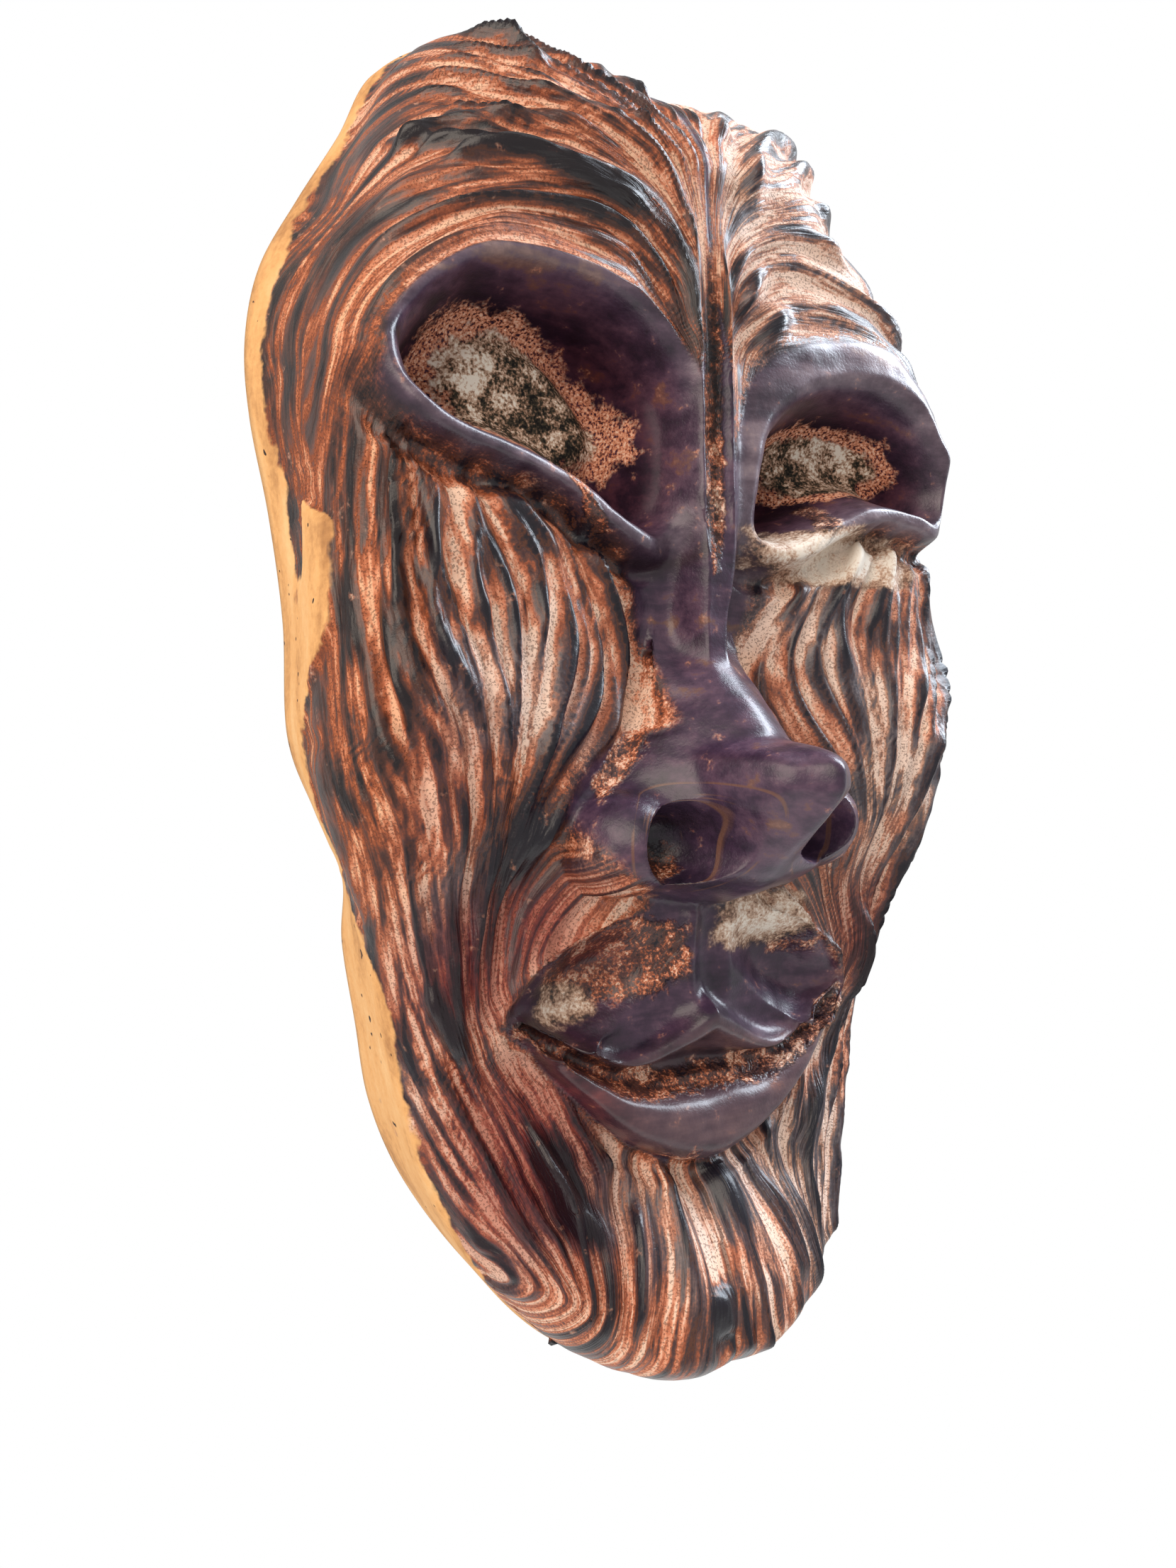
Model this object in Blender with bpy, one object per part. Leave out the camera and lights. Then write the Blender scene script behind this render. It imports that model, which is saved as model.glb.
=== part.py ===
"""Ceramic wall mask, 290 mm tall: one fired-clay shell, open behind, with a flat rim that lies on the wall.

World frame: X to the viewer's right, Z up, the wall is the plane Y = 0 and the face looks along -Y. The origin
is the middle of the rim's back face at the top of the mask.

The face is drawn in its own frame: x to the right, z up from the tip of the nose, h out of the wall, in
millimetres when the mask is DRAWN_HEIGHT tall. Another HEIGHT scales the drawing, but not the clay's thickness.
"""

import bpy
import numpy as np

# Real sizes, in millimetres: from chin to forehead at the back, and how thick the clay is
HEIGHT = 290.0
WALL = 8.0
THINNEST = 3.0

# The edge, from the chin up: z, half width at the back, half width where the wall meets the face
EDGE = [
    (-125, 0, 0), (-124, 14, 15), (-117, 27, 30), (-104, 39, 43), (-86, 51, 53), (-69, 58, 59),
    (-52, 61, 63), (-34, 64, 67), (-20, 64, 72), (-6, 70, 77), (10, 76, 79), (34, 77, 79),
    (56, 80, 79), (76, 84, 81), (92, 85, 79), (108, 82, 73), (124, 74, 69), (140, 65, 63),
    (156, 57, 55), (166, 41, 40), (167, 20, 20), (165, 0, 0),
]
DRAWN_HEIGHT = EDGE[-1][0] - EDGE[0][0]

# The edge's stations at the corners of the face's grid, and the stretch of the middle that strands lie around
LOW_CORNER = 2
HIGH_CORNER = 18
SPINE = (-70, 95)

# How finely the edge and the shell are drawn
EDGE_SPANS = 24
OUTLINE_COLUMNS = 24
OUTLINE_ROWS = 56
COLUMNS = 128
ROWS = 160
HOLLOW_RATIO = 4
SIDE_RINGS = 6
FINEST_STRAND = 4.5
SOLID_TRIANGLES = 9600
EVENING = 0.6
RIM_TOLERANCE = 0.00002

# Up the middle of the face: z, height of the face's plane, depth of the side wall, width of the shoulder
LEVELS = [
    (-124, 49, 38, 9), (-104, 48, 32, 11), (-86, 43, 24, 13), (-60, 43, 21, 16), (-30, 45, 22, 18),
    (8, 47, 24, 18), (40, 46, 22, 18), (72, 47, 22, 16), (90, 47, 20, 17), (104, 47, 18, 22),
    (120, 47, 15, 28), (140, 47, 11, 38), (168, 47, 8, 48),
]

# Swellings and hollows of that plane on both halves, then on the right alone: centre, half sizes, height
BOTH_SWELLINGS = [
    ((52, -62), (18, 26), -7), ((50, 142), (20, 18), -7), ((48, 14), (20, 26), 4), ((10, 22), (11, 26), -8),
    ((47, -24), (16, 12), -5),
]
RIGHT_SWELLING = ((64, 8), (15, 28), 5)
CHIN = ((0, -110), (29, 22), 9)

# Eye sockets, each round its opening from the outer corner over the top, with distances out from the middle of
# the face, and the low mound in its floor: centre, half sizes, and how much its outer end is raised
LEFT_SOCKET = [
    (70, 82), (66, 89), (59, 95), (51, 99), (39, 100.5), (27, 99.5), (18, 96), (11, 90), (7, 82), (5, 72),
    (6, 60), (11, 53), (20, 54), (34, 62), (47, 66), (60, 69), (68, 75),
]
RIGHT_SOCKET = [
    (71, 70), (69, 78), (62, 86), (53, 90), (41, 90), (28, 86), (20, 80), (16, 73), (15, 63), (15, 55),
    (22, 54), (32, 59), (42, 64), (51, 66), (61, 65), (68, 64),
]
LEFT_MOUND = ((36, 79), (25, 15), 0.32)
RIGHT_MOUND = ((45, 76), (20, 9), 0.05)
SOCKET_FLOOR = 21
MOUND_RISE = 9

# The lower lid's line outwards from the bridge, and the knob where the lids meet: centre, half sizes, height
LID_LINE = [(8, 48), (20, 51), (34, 58), (47, 62), (60, 66), (75, 72)]
KNOB = ((76, 80), (5.5, 5), 3.5)

# Up the bridge of the nose: z, height, half width on the left and on the right, drop of its sides
BRIDGE = [
    (7, 66, 14, 14, 16), (13, 56, 10, 10, 14), (20, 51, 8, 8, 13), (32, 50.5, 8, 9, 14),
    (46, 51.5, 9, 13, 13), (62, 50.5, 9, 16, 12), (84, 50, 9, 16, 11), (100, 49.5, 9, 12, 8),
    (124, 48, 8, 8, 3),
]

# Half width of the smooth skin beside the bridge: z, half width
SMOOTH_BRIDGE = [
    (-20, 12), (0, 19), (10, 13), (28, 12), (40, 16), (50, 17), (60, 7), (90, 3), (105, 0.5),
]

# The nose: where it starts and ends out of the wall, its blunt tip's half width and its reach above and below,
# its flanks and, with distances out from its middle, the dome of a wing and the bowl of a nostril
NOSE_BASE = 45
NOSE_DEPTH = 86
TIP_HALF = 17
TIP_ABOVE = 11
TIP_BELOW = 24
FLANK_HALF = 35
FLANK_RISE = 26
WING = ((24, -12), (12.5, 12.5), 18)
NOSTRIL = ((16.5, -12), (8, 6.5), 13)
RIGHT_WING_LIFT = 4

# Up the sides of the nose: z, share of the flanks' half width
NOSE_SIDES = [
    (-28, 0.7), (-18, 1), (-8, 0.96), (0, 0.82), (8, 0.64), (18, 0.46), (32, 0.34), (44, 0.28),
]

# Outwards along the lips: distance from the middle, crest of the upper lip, parting, lower lip's two edges
LIPS = [
    (0, -49.5, -59.5, -65, -80), (8, -53.5, -60, -64.5, -79), (19, -57.5, -60, -63, -73),
    (29, -54, -56, -58, -64.5), (37, -50, -51.5, -53, -56.5), (43, -47.5, -48, -48.5, -49.5),
    (48, -46, -46, -46, -46),
]

# Strands of the skin on the right half: each runs along a line of points and has its own number, which grows by
# about one for each millimetre across the strands. The first set sweeps round over the eye from the bridge.
BROW_STRANDS = [
    (0, [(7, 86), (12, 98), (25, 105), (42, 107), (55, 104), (66, 96), (74, 86), (77, 76), (78, 60)]),
    (8, [
        (5, 92), (11, 104), (19, 113), (35, 114), (51, 111), (64, 106), (73, 98), (79, 84), (80, 64), (78, 44),
    ]),
    (14, [
        (4, 94), (6, 106), (14, 116), (27, 121), (46, 120), (62, 116), (74, 106), (82, 88), (84, 66), (82, 44),
    ]),
    (28, [(3, 98), (4, 112), (12, 124), (25, 131), (41, 137), (54, 140), (65, 133), (76, 118)]),
    (38, [(2, 100), (4, 119), (10, 131), (21, 139), (33, 144), (46, 150), (58, 151)]),
    (54, [(1, 100), (2, 120), (5, 138), (12, 150), (24, 160), (36, 168)]),
    (62, [(0, 100), (0, 130), (0, 150), (1, 168)]),
]

# The second set runs down from the lower lid, narrows beside the mouth and spreads over jaw and chin
CHEEK_STRANDS = [
    (-6, [(86, 62), (82, 40), (82, 20), (80, 2), (74, -20), (72, -36), (66, -58), (57, -78), (44, -102)]),
    (5, [
        (78, 60), (77, 30), (76, 8), (72, -6), (66, -22), (61, -40), (55, -55), (48, -70), (41, -86),
        (33, -102),
    ]),
    (12, [
        (73, 66), (73, 50), (71, 30), (66, 12), (61, -8), (57, -26), (55, -40), (50, -54), (43, -67),
        (33, -90),
    ]),
    (19, [
        (63, 60), (60, 48), (55, 27), (52, 8), (51, -12), (51, -28), (51, -42), (47, -55), (39, -68),
        (30, -92),
    ]),
    (25, [
        (49, 55), (41, 45), (37, 34), (39, 20), (43, 6), (47, -12), (48, -28), (48, -44), (37, -62),
        (28, -82),
    ]),
    (32, [
        (23, 45), (14, 35), (13, 22), (18, 8), (28, -4), (38, -16), (44, -30), (45, -48), (34, -64),
        (26, -84),
    ]),
    (39, [(19, -76), (22, -90), (25, -104), (27, -118)]),
    (47, [(11, -79), (15, -94), (19, -108), (21, -122)]),
    (54, [(5, -80), (7, -95), (10, -122)]),
    (60, [(0, -80), (0, -100), (0, -124)]),
]

# The strands' folds from broad to fine, as how many strand numbers apart they are, the depth and the bluntness of
# a crease as shares of its strand's width and of the finest strand's, the width where creases stop getting
# deeper, and the widths over which folds fade out
FOLDS = [18, 9, 4.2, 2, 1]
CREASE_SHARE = 0.36
CREASE_BLUNTNESS = 0.3
DEEPEST_FOLD = 9.0
BROADEST_FOLDS = (26, 13)

# Gaps where strands part: start, end, half width, depth
GAPS = [
    ((-38, -73), (-27, -91), 2.4, 4), ((-60, -40), (-53, -54), 1.8, 3), ((-63, 129), (-45, 127), 1.7, 2.5),
    ((-38, 123), (-18, 119), 1.7, 2.5), ((-4, -103), (-3, -112), 3, 3),
]

# How much bare clay the side wall shows, from the chin up: z, height of the glaze's edge over the wall
BARE_CLAY = [
    (-124, 30), (-112, 30), (-100, 28), (-84, 24), (-60, 25), (-45, 26), (-30, 20), (-18, 10), (-4, 10),
    (10, 12), (22, 24), (30, 31), (50, 30), (58, 14), (66, 8), (87, 6), (120, 5), (166, 4),
]


def blend_max(a, b, softness):
    return (a + b + np.sqrt((a - b) ** 2 + softness**2)) / 2


def bump(x, z, at, radii, power=2.0):
    """1 at a point, falling smoothly to 0 over about twice the radii."""
    away = np.abs((x - at[0]) / radii[0]) ** power + np.abs((z - at[1]) / radii[1]) ** power
    return np.exp(-away)


def smooth_step(low, high, value):
    t = np.clip((value - low) / (high - low), 0, 1)
    return t * t * (3 - 2 * t)


def curve(points, closed=False, per_span=24):
    """A Catmull-Rom curve through the points."""
    points = np.asarray(points, float)
    if closed:
        ends = points[-1:], points, points[:2]
    else:
        ends = 2 * points[:1] - points[1:2], points, 2 * points[-1:] - points[-2:-1]
    p = np.concatenate(ends)
    t = np.linspace(0, 1, per_span, endpoint=False)[:, None]
    spans = []
    for a, b, c, d in zip(p, p[1:], p[2:], p[3:]):
        spans.append(
            (2 * b + (c - a) * t + (2 * a - 5 * b + 4 * c - d) * t**2 + (3 * b - 3 * c + d - a) * t**3) / 2
        )
    if not closed:
        spans.append(points[-1:])
    return np.concatenate(spans)


def along(line, shares):
    """Points of a polyline at shares of its length."""
    steps = np.linalg.norm(np.diff(line, axis=0), axis=1)
    length = np.concatenate([[0], np.cumsum(steps)])
    at = np.asarray(shares) * length[-1]
    return np.stack([np.interp(at, length, line[:, i]) for i in range(line.shape[1])], axis=1)


def inside_distance(x, z, loop):
    """Distance to a closed loop, positive inside it."""
    start = loop
    step = np.roll(loop, -1, axis=0) - loop
    px, pz = x.ravel(), z.ravel()
    best = np.full(px.shape, np.inf)
    crossings = np.zeros(px.shape, int)
    for (ax, az), (dx, dz) in zip(start, step):
        t = np.clip(((px - ax) * dx + (pz - az) * dz) / (dx * dx + dz * dz + 1e-12), 0, 1)
        best = np.minimum(best, (px - ax - t * dx) ** 2 + (pz - az - t * dz) ** 2)
        level = (az > pz) != (az + dz > pz)
        if dz:
            crossings += level & (px < ax + (pz - az) * dx / dz)
    signed = np.sqrt(best) * np.where(crossings % 2, 1, -1)
    return signed.reshape(x.shape)


def face_plane(x, z, edge):
    """The rounded slab that the features stand on."""
    level = np.asarray(LEVELS, float)
    plane, wall, shoulder = (np.interp(z, level[:, 0], level[:, i]) for i in (1, 2, 3))
    t = np.clip(inside_distance(x, z, edge) / shoulder, 0, 1)
    roundness = 2 - 0.4 * smooth_step(90, 130, z)
    rise = (1 - (1 - t) ** roundness) ** (1 / roundness)
    side = np.abs(x)
    for at, half, height in BOTH_SWELLINGS:
        plane = plane + height * bump(side, z, at, half)
    at, half, height = RIGHT_SWELLING
    plane = plane + height * bump(x, z, at, half)
    at, half, height = CHIN
    plane = plane + height * bump(x, z, at, half, 4)
    return wall + (plane - wall) * rise


def socket_distance(x, z):
    """Distance to the edge of the nearer eye socket, positive inside it."""
    side = np.abs(x)
    left, right = (
        inside_distance(side, z, curve(loop, closed=True, per_span=8)) for loop in (LEFT_SOCKET, RIGHT_SOCKET)
    )
    share = smooth_step(-3, 3, x)
    return left * (1 - share) + right * share


def below_lid(side, z):
    """1 under the lower lid's line, 0 over it."""
    line = np.asarray(LID_LINE, float)
    return smooth_step(9, -1, z - np.interp(side, line[:, 0], line[:, 1]))


def mound(x, z, shape):
    """1 on the mound in a socket's floor, falling to 0 around it."""
    (out, up), (half_out, half_up), raised = shape
    along_it = (np.abs(x) - out) + (z - up) * raised
    across = (z - up) - (np.abs(x) - out) * raised
    away = np.sqrt((along_it / half_out) ** 2 + (across / half_up) ** 2)
    return smooth_step(1.25, 0.6, away)


def sockets(x, z, h):
    """Cuts a deep bowl with a mound in its floor, raises its rim and folds the lower lid."""
    side = np.abs(x)
    inside = socket_distance(x, z)
    below = below_lid(side, z)
    away_from_bridge = smooth_step(6, 16, side)
    h = h + 2.2 * np.exp(-(((inside + 3.2) / 2.8) ** 2)) * (1 - below)
    h = h + 2.6 * np.exp(-(((inside + 8) / 5) ** 2)) * (1 - below) * smooth_step(0, 12, x)
    h = h + 4.2 * np.exp(-np.abs((inside + 3.3) / 3.5) ** 4) * below * away_from_bridge
    h = h - 4.4 * np.exp(-(((inside + 8.6) / 2) ** 2)) * below * away_from_bridge * smooth_step(82, 68, side)
    knob_at, knob_half, knob_height = KNOB
    h = h + knob_height * bump(side, z, knob_at, knob_half)
    left, right = mound(x, z, LEFT_MOUND), mound(x, z, RIGHT_MOUND)
    floor = SOCKET_FLOOR + MOUND_RISE * np.where(x < 0, left, right) + 5 * smooth_step(52, 74, side)
    floor = floor - 3 * bump(side, z, (16, 88), (14, 12))
    depth = smooth_step(-1, 10.5, inside)
    return h + (floor - h) * depth


def bridge(x, z, h):
    """The ridge between the sockets and down to the nose, a shallow strip between two thin ridges."""
    level = curve(BRIDGE)
    top, left, right, drop = (np.interp(z, level[:, 0], level[:, i]) for i in range(1, 5))
    half = np.where(x < 0, left, right)
    ridge = top - drop * smooth_step(0.3, 1.05, np.abs(x) / half) - 20 * smooth_step(1.05, 2.2, np.abs(x) / half)
    weight = smooth_step(2, 12, z) * smooth_step(132, 104, z)
    h = h + weight * (blend_max(h, ridge, 1.5) - h)
    beside = smooth_step(44, 58, z) * smooth_step(126, 100, z)
    h = h + beside * 1.5 * np.exp(-(((x + 4.6) / 1.4) ** 2))
    h = h - beside * 1.1 * np.exp(-(((x + 0.6) / 2.2) ** 2))
    return h + beside * 1.3 * np.exp(-(((x - 3.6) / 1.3) ** 2))


def nose(x, z, h):
    """A blunt nose that juts over the lips, with flared wings round bowl-like nostrils."""
    side = np.abs(x - 1)
    up = np.where(z > 0, np.abs(z / TIP_ABOVE) ** 3.5, np.sqrt((z / TIP_BELOW) ** 2 + 0.01) - 0.1)
    tip = np.clip(1 - (side / TIP_HALF) ** 2 - up, 0, 1)
    sides = np.asarray(NOSE_SIDES, float)
    flank = 1 - (side / (FLANK_HALF * np.interp(z, sides[:, 0], sides[:, 1]))) ** 1.6
    flank = np.clip(flank - np.clip((-12 - z) / 14, 0, 2) ** 3, 0, 1)
    flanks = np.where(flank > 0, NOSE_BASE - 2 + FLANK_RISE * smooth_step(40, 2, z) * flank**0.8, 0)
    h = h + smooth_step(40, 20, z) * (blend_max(h, flanks, 2) - h)
    h = blend_max(h, np.where(tip > 0, NOSE_BASE + (NOSE_DEPTH - NOSE_BASE) * tip**0.6, 0), 2)
    (out, at_z), (half_out, half_up), rise = WING
    over = z - RIGHT_WING_LIFT * smooth_step(0, 14, x)
    wing = 1 - ((side - out) / half_out) ** 2 - ((over - at_z) / half_up) ** 2
    h = blend_max(h, np.where(wing > 0, NOSE_BASE + rise * np.sqrt(np.abs(wing)), 0), 1.2)
    (out, at_z), (half_out, half_up), depth = NOSTRIL
    bowl = 1 - ((side - out) / half_out) ** 2 - ((over - at_z) / half_up) ** 2
    lobes = 0.9 * np.cos(side * 0.62) * smooth_step(0.3, 0.8, tip)
    return h + lobes - depth * smooth_step(-0.8, 1, bowl)


def swell(distance, half):
    """A rounded band: 1 along its middle, falling to 0 at its half width."""
    return np.exp(-(np.abs(distance / half) ** 3) * 1.5)


def lip_lines(x):
    """Heights of the lips' lines at a distance from the middle, on smooth curves."""
    lines = curve(LIPS)
    return [np.interp(np.abs(x), lines[:, 0], lines[:, i]) for i in range(1, 5)]


def mouth(x, z, h):
    """A closed grin: hollows over the upper lip, parting, full lower lip with an edge under it."""
    side = np.abs(x)
    crest, parting, top, bottom = lip_lines(x)
    ends = smooth_step(47, 40, side)
    across = (side - 26) * 0.36 + (z + 41)
    hollow = np.sqrt(((side - 26) / 17) ** 2 + (across / 9.5) ** 2)
    h = h - 6 * smooth_step(1.15, 0.25, hollow)
    h = h + 1.8 * np.exp(-(((hollow - 1.2) / 0.13) ** 2)) * smooth_step(16, 30, side)
    philtrum = smooth_step(-52, -44, z) * smooth_step(-22, -28, z)
    h = h + 3 * philtrum * np.exp(-(((x + 4) / 3.2) ** 2)) + 1.2 * philtrum * np.exp(-(((x - 7) / 3) ** 2))
    thick = 1.2 + 0.34 * (crest - parting)
    h = h + (3 + 0.45 * (crest - parting)) * ends * swell(z - crest, thick + 1)
    middle, half = (top + bottom) / 2, (top - bottom) / 2
    lip = np.clip(1 - np.abs((z - middle) / (half + 1.2)) ** 3.2, 0, 1) ** 0.8
    h = h + (4 + 0.45 * half) * ends * lip
    h = h - 3.0 * ends * swell(z - parting, 0.7 + 0.22 * (parting - top))
    return h - 2.4 * ends * swell(z - bottom + 3.2, 2.6) * smooth_step(34, 24, side)


def face(x, z, edge):
    h = face_plane(x, z, edge)
    h = sockets(x, z, h)
    h = bridge(x, z, h)
    h = nose(x, z, h)
    return mouth(x, z, h)


def unrolled(x, z, drop, outline):
    """Where a point would lie if the shoulder and the side wall were pressed flat around the face."""
    levels = np.asarray(LEVELS, float)
    wall, shoulder = np.interp(z, levels[:, 0], levels[:, 2]), np.interp(z, levels[:, 0], levels[:, 3])
    t = np.clip(inside_distance(x, z, outline) / shoulder, 0, 1)
    extra = 0.6 * (48 - wall) * (1 - t) ** 2 + drop
    out_z = z - np.clip(z, *SPINE)
    reach = np.hypot(x, out_z) + 1e-6
    return x + extra * x / reach, z + extra * out_z / reach


def strand_flow(strands, outline):
    """A smooth field that keeps each strand's number along its line: a thin-plate spline through the lines."""
    places, numbers = [], []
    for number, line in strands:
        line = curve(line, per_span=3)
        places.append(line)
        numbers.append(np.full(len(line), float(number)))
    places, numbers = np.concatenate(places), np.concatenate(numbers)
    at = np.stack(unrolled(places[:, 0], places[:, 1], 0.0, outline), axis=1)
    apart = ((at[:, None] - at[None]) ** 2).sum(axis=2)
    kernel = apart * np.log(apart + 1e-9) / 2 + np.eye(len(at)) * 20
    flat = np.concatenate([np.ones((len(at), 1)), at], axis=1)
    system = np.block([[kernel, flat], [flat.T, np.zeros((3, 3))]])
    return at, np.linalg.solve(system, np.concatenate([numbers, np.zeros(3)]))


def flow_at(flow, x, z):
    """The strand number at unrolled points, and how fast it changes across the strands."""
    at, weights = flow
    value = weights[-3] + weights[-2] * x + weights[-1] * z
    slope_x = np.full(x.shape, weights[-2])
    slope_z = np.full(x.shape, weights[-1])
    for (ax, az), weight in zip(at, weights):
        dx, dz = x - ax, z - az
        apart = dx * dx + dz * dz + 1e-9
        log = np.log(apart)
        value += weight * apart * log / 2
        slope_x += weight * dx * (log + 1)
        slope_z += weight * dz * (log + 1)
    return value, np.hypot(slope_x, slope_z)


def noise(u, v, seed):
    """Smooth random values between -1 and 1."""
    iu, iv = np.floor(u).astype(np.int64), np.floor(v).astype(np.int64)
    fu, fv = smooth_step(0, 1, u - iu), smooth_step(0, 1, v - iv)

    def corner(a, b):
        mixed = (a * 73856093) ^ (b * 19349663) ^ (seed * 83492791)
        mixed = ((mixed ^ (mixed >> 13)) * 1274126177) & 0xFFFFFFFF
        return (mixed ^ (mixed >> 16)) % 65536 / 32767.5 - 1

    low = corner(iu, iv) * (1 - fu) + corner(iu + 1, iv) * fu
    high = corner(iu, iv + 1) * (1 - fu) + corner(iu + 1, iv + 1) * fu
    return low * (1 - fv) + high * fv


def strands_relief(number, slope, along_them, seed, finest):
    """Rounded strands, with creases between them that come and go along their length."""
    relief = np.zeros(number.shape)
    for step, spacing in enumerate(FOLDS):
        width = spacing / np.maximum(slope, 0.05)
        wander = 0.45 * noise(number / (1.7 * spacing), along_them + 7 * step, seed + step)
        phase = number / spacing + wander
        blunt = np.minimum(np.pi * CREASE_BLUNTNESS * finest / width, 1)
        crease = 1 - ((np.sin(np.pi * phase) ** 2 + blunt**2) / (1 + blunt**2)) ** 0.3
        coming = noise(np.round(phase) * 5.37, along_them * 1.6, seed + 20 + step)
        crease = crease * (0.25 + 0.75 * smooth_step(-0.5, 0.4, coming))
        depth = CREASE_SHARE * np.minimum(width, DEEPEST_FOLD) * smooth_step(*BROADEST_FOLDS, width)
        relief += depth * smooth_step(finest * 0.7, finest * 1.3, width) * (0.25 - crease)
    return relief


def gap_depth(x, z):
    """Depth of the lens-shaped gaps between strands."""
    depth = np.zeros(x.shape)
    for start, end, half, deep in GAPS:
        (ax, az), (dx, dz) = start, np.subtract(end, start)
        t = ((x - ax) * dx + (z - az) * dz) / (dx * dx + dz * dz)
        across = np.hypot(x - ax - t * dx, z - az - t * dz)
        depth += deep * np.exp(-((across / half) ** 2) - (2 * t - 1) ** 4)
    return depth


def strand_cover(x, z):
    """1 where the skin is in strands, 0 on the smooth rims, nose and lips."""
    side = np.abs(x)
    below = below_lid(side, z)
    rim = 7.5 * below + (1 - below) * (4 + 9 * smooth_step(0, 12, x))
    cover = smooth_step(-rim + 2.5, -rim - 3.5, socket_distance(x, z))
    cover = cover * smooth_step(0.95, 1.2, np.hypot(side / 34, (z + 6) / 19))
    line = np.asarray(SMOOTH_BRIDGE, float)
    bridge_half = np.interp(z, line[:, 0], line[:, 1])
    chin = smooth_step(-60, -70, z)
    cover = cover * np.maximum(smooth_step(bridge_half * 0.8, bridge_half * 1.3 + 0.5, side), chin)
    bottom = lip_lines(x)[3]
    lips = smooth_step(1.05, 0.92, np.hypot(side / 50, (z + 58) / 34)) * smooth_step(bottom - 3, bottom - 1, z)
    return cover * (1 - lips)


def strand_measure(x, z, drop, over_brow, outline):
    """How much broader the finest carved strands are than elsewhere, and how much taller all of them are."""
    far_brow = over_brow * smooth_step(0, 12, x)
    at_edge = np.maximum(smooth_step(10, 1, inside_distance(x, z, outline)), smooth_step(0, 1, drop))
    broader = 1 + 1.8 * far_brow + 2.4 * at_edge + 1.2 * bump(x, z, (0, -100), (24, 22), 4)
    return broader, (1 + 0.5 * far_brow) * (1 - 0.45 * at_edge)


def relief(x, z, drop, outline, finest):
    """Height of the strands over the smooth face."""
    ux, uz = unrolled(np.abs(x), z, drop, outline)
    over_brow = smooth_step(60, 78, uz)
    along_them = uz / 26 + ux / 34
    seed = np.where(x > 0, 11, 47)
    broader, taller = strand_measure(x, z, drop, over_brow, outline)
    total = np.zeros(x.shape)
    for weight, strands in ((over_brow, BROW_STRANDS), (1 - over_brow, CHEEK_STRANDS)):
        number, slope = flow_at(strand_flow(strands, outline), ux, uz)
        total += weight * strands_relief(number, slope, along_them, seed, finest * broader)
    return total * taller * strand_cover(x, z) - gap_depth(x, z)


def edge_loops(columns, rows):
    """The back's edge and the face's edge as matching loops, counterclockwise seen from the front."""
    z, back, front = np.asarray(EDGE, float).T
    low, high = LOW_CORNER * EDGE_SPANS, HIGH_CORNER * EDGE_SPANS
    loops = []
    for half in (back, front):
        right = np.stack([half, z], axis=1)
        smooth = curve(np.concatenate([right, right[1:-1][::-1] * (-1, 1)]), True, EDGE_SPANS)
        whole = len(smooth)
        sections = [
            (-low, low, columns),
            (low, high, rows),
            (high, whole - high, columns),
            (whole - high, whole - low, rows),
        ]
        parts = []
        for start, stop, count in sections:
            line = smooth[np.arange(start, stop + 1) % whole]
            parts.append(along(line, np.linspace(0, 1, count, endpoint=False)))
        loops.append(np.concatenate(parts))
    return loops


def inset(loop, width):
    """The loop moved inwards by a width."""
    ahead = np.roll(loop, -1, axis=0) - np.roll(loop, 1, axis=0)
    ahead /= np.linalg.norm(ahead, axis=1)[:, None]
    return loop + width * np.stack([-ahead[:, 1], ahead[:, 0]], axis=1)


def patch(loop, columns, rows):
    """A grid of points that fills a loop, as a Coons patch on its four sides."""
    bottom = loop[: columns + 1]
    right = loop[columns : columns + rows + 1]
    top = loop[columns + rows : 2 * columns + rows + 1][::-1]
    left = np.concatenate([loop[2 * columns + rows :], loop[:1]])[::-1]
    p = np.linspace(0, 1, columns + 1)[None, :, None]
    q = np.linspace(0, 1, rows + 1)[:, None, None]
    corners = (1 - q) * ((1 - p) * bottom[0] + p * bottom[-1]) + q * ((1 - p) * top[0] + p * top[-1])
    return (1 - q) * bottom + q * top + (1 - p) * left[:, None] + p * right[:, None] - corners


def rim_of(columns, rows):
    """Indices of a grid's border, in a loop's order."""
    index = np.arange((rows + 1) * (columns + 1)).reshape(rows + 1, columns + 1)
    return np.concatenate([index[0, :-1], index[:-1, -1], index[-1, :0:-1], index[:0:-1, 0]])


def even_out(grid, heights, strength):
    """Slides the inner points of each row along it, so that steep places get their share of them."""
    steps = np.linalg.norm(np.diff(np.dstack([grid, heights]), axis=1), axis=2)
    for _ in range(3):
        padded = np.concatenate([steps[:1], steps, steps[-1:]])
        steps = (padded[:-2] + 2 * padded[1:-1] + padded[2:]) / 4
    count = steps.shape[1]
    even = np.linspace(0, 1, count + 1)
    moved = grid.copy()
    for i in range(1, len(grid) - 1):
        share = np.concatenate([[0], np.cumsum(steps[i])]) / steps[i].sum()
        share = strength * share + (1 - strength) * even
        moved[i] = np.stack([np.interp(even, share, grid[i, :, k]) for k in (0, 1)], axis=1)
    return moved


def grid_faces(columns, rows, first=0):
    index = first + np.arange((rows + 1) * (columns + 1)).reshape(rows + 1, columns + 1)
    corners = [index[:-1, :-1], index[:-1, 1:], index[1:, 1:], index[1:, :-1]]
    return np.stack(corners, axis=2).reshape(-1, 4)


def ring_faces(outer, inner):
    """Quads between two matching loops of vertices."""
    return np.stack([outer, inner, np.roll(inner, -1), np.roll(outer, -1)], axis=1)


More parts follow.
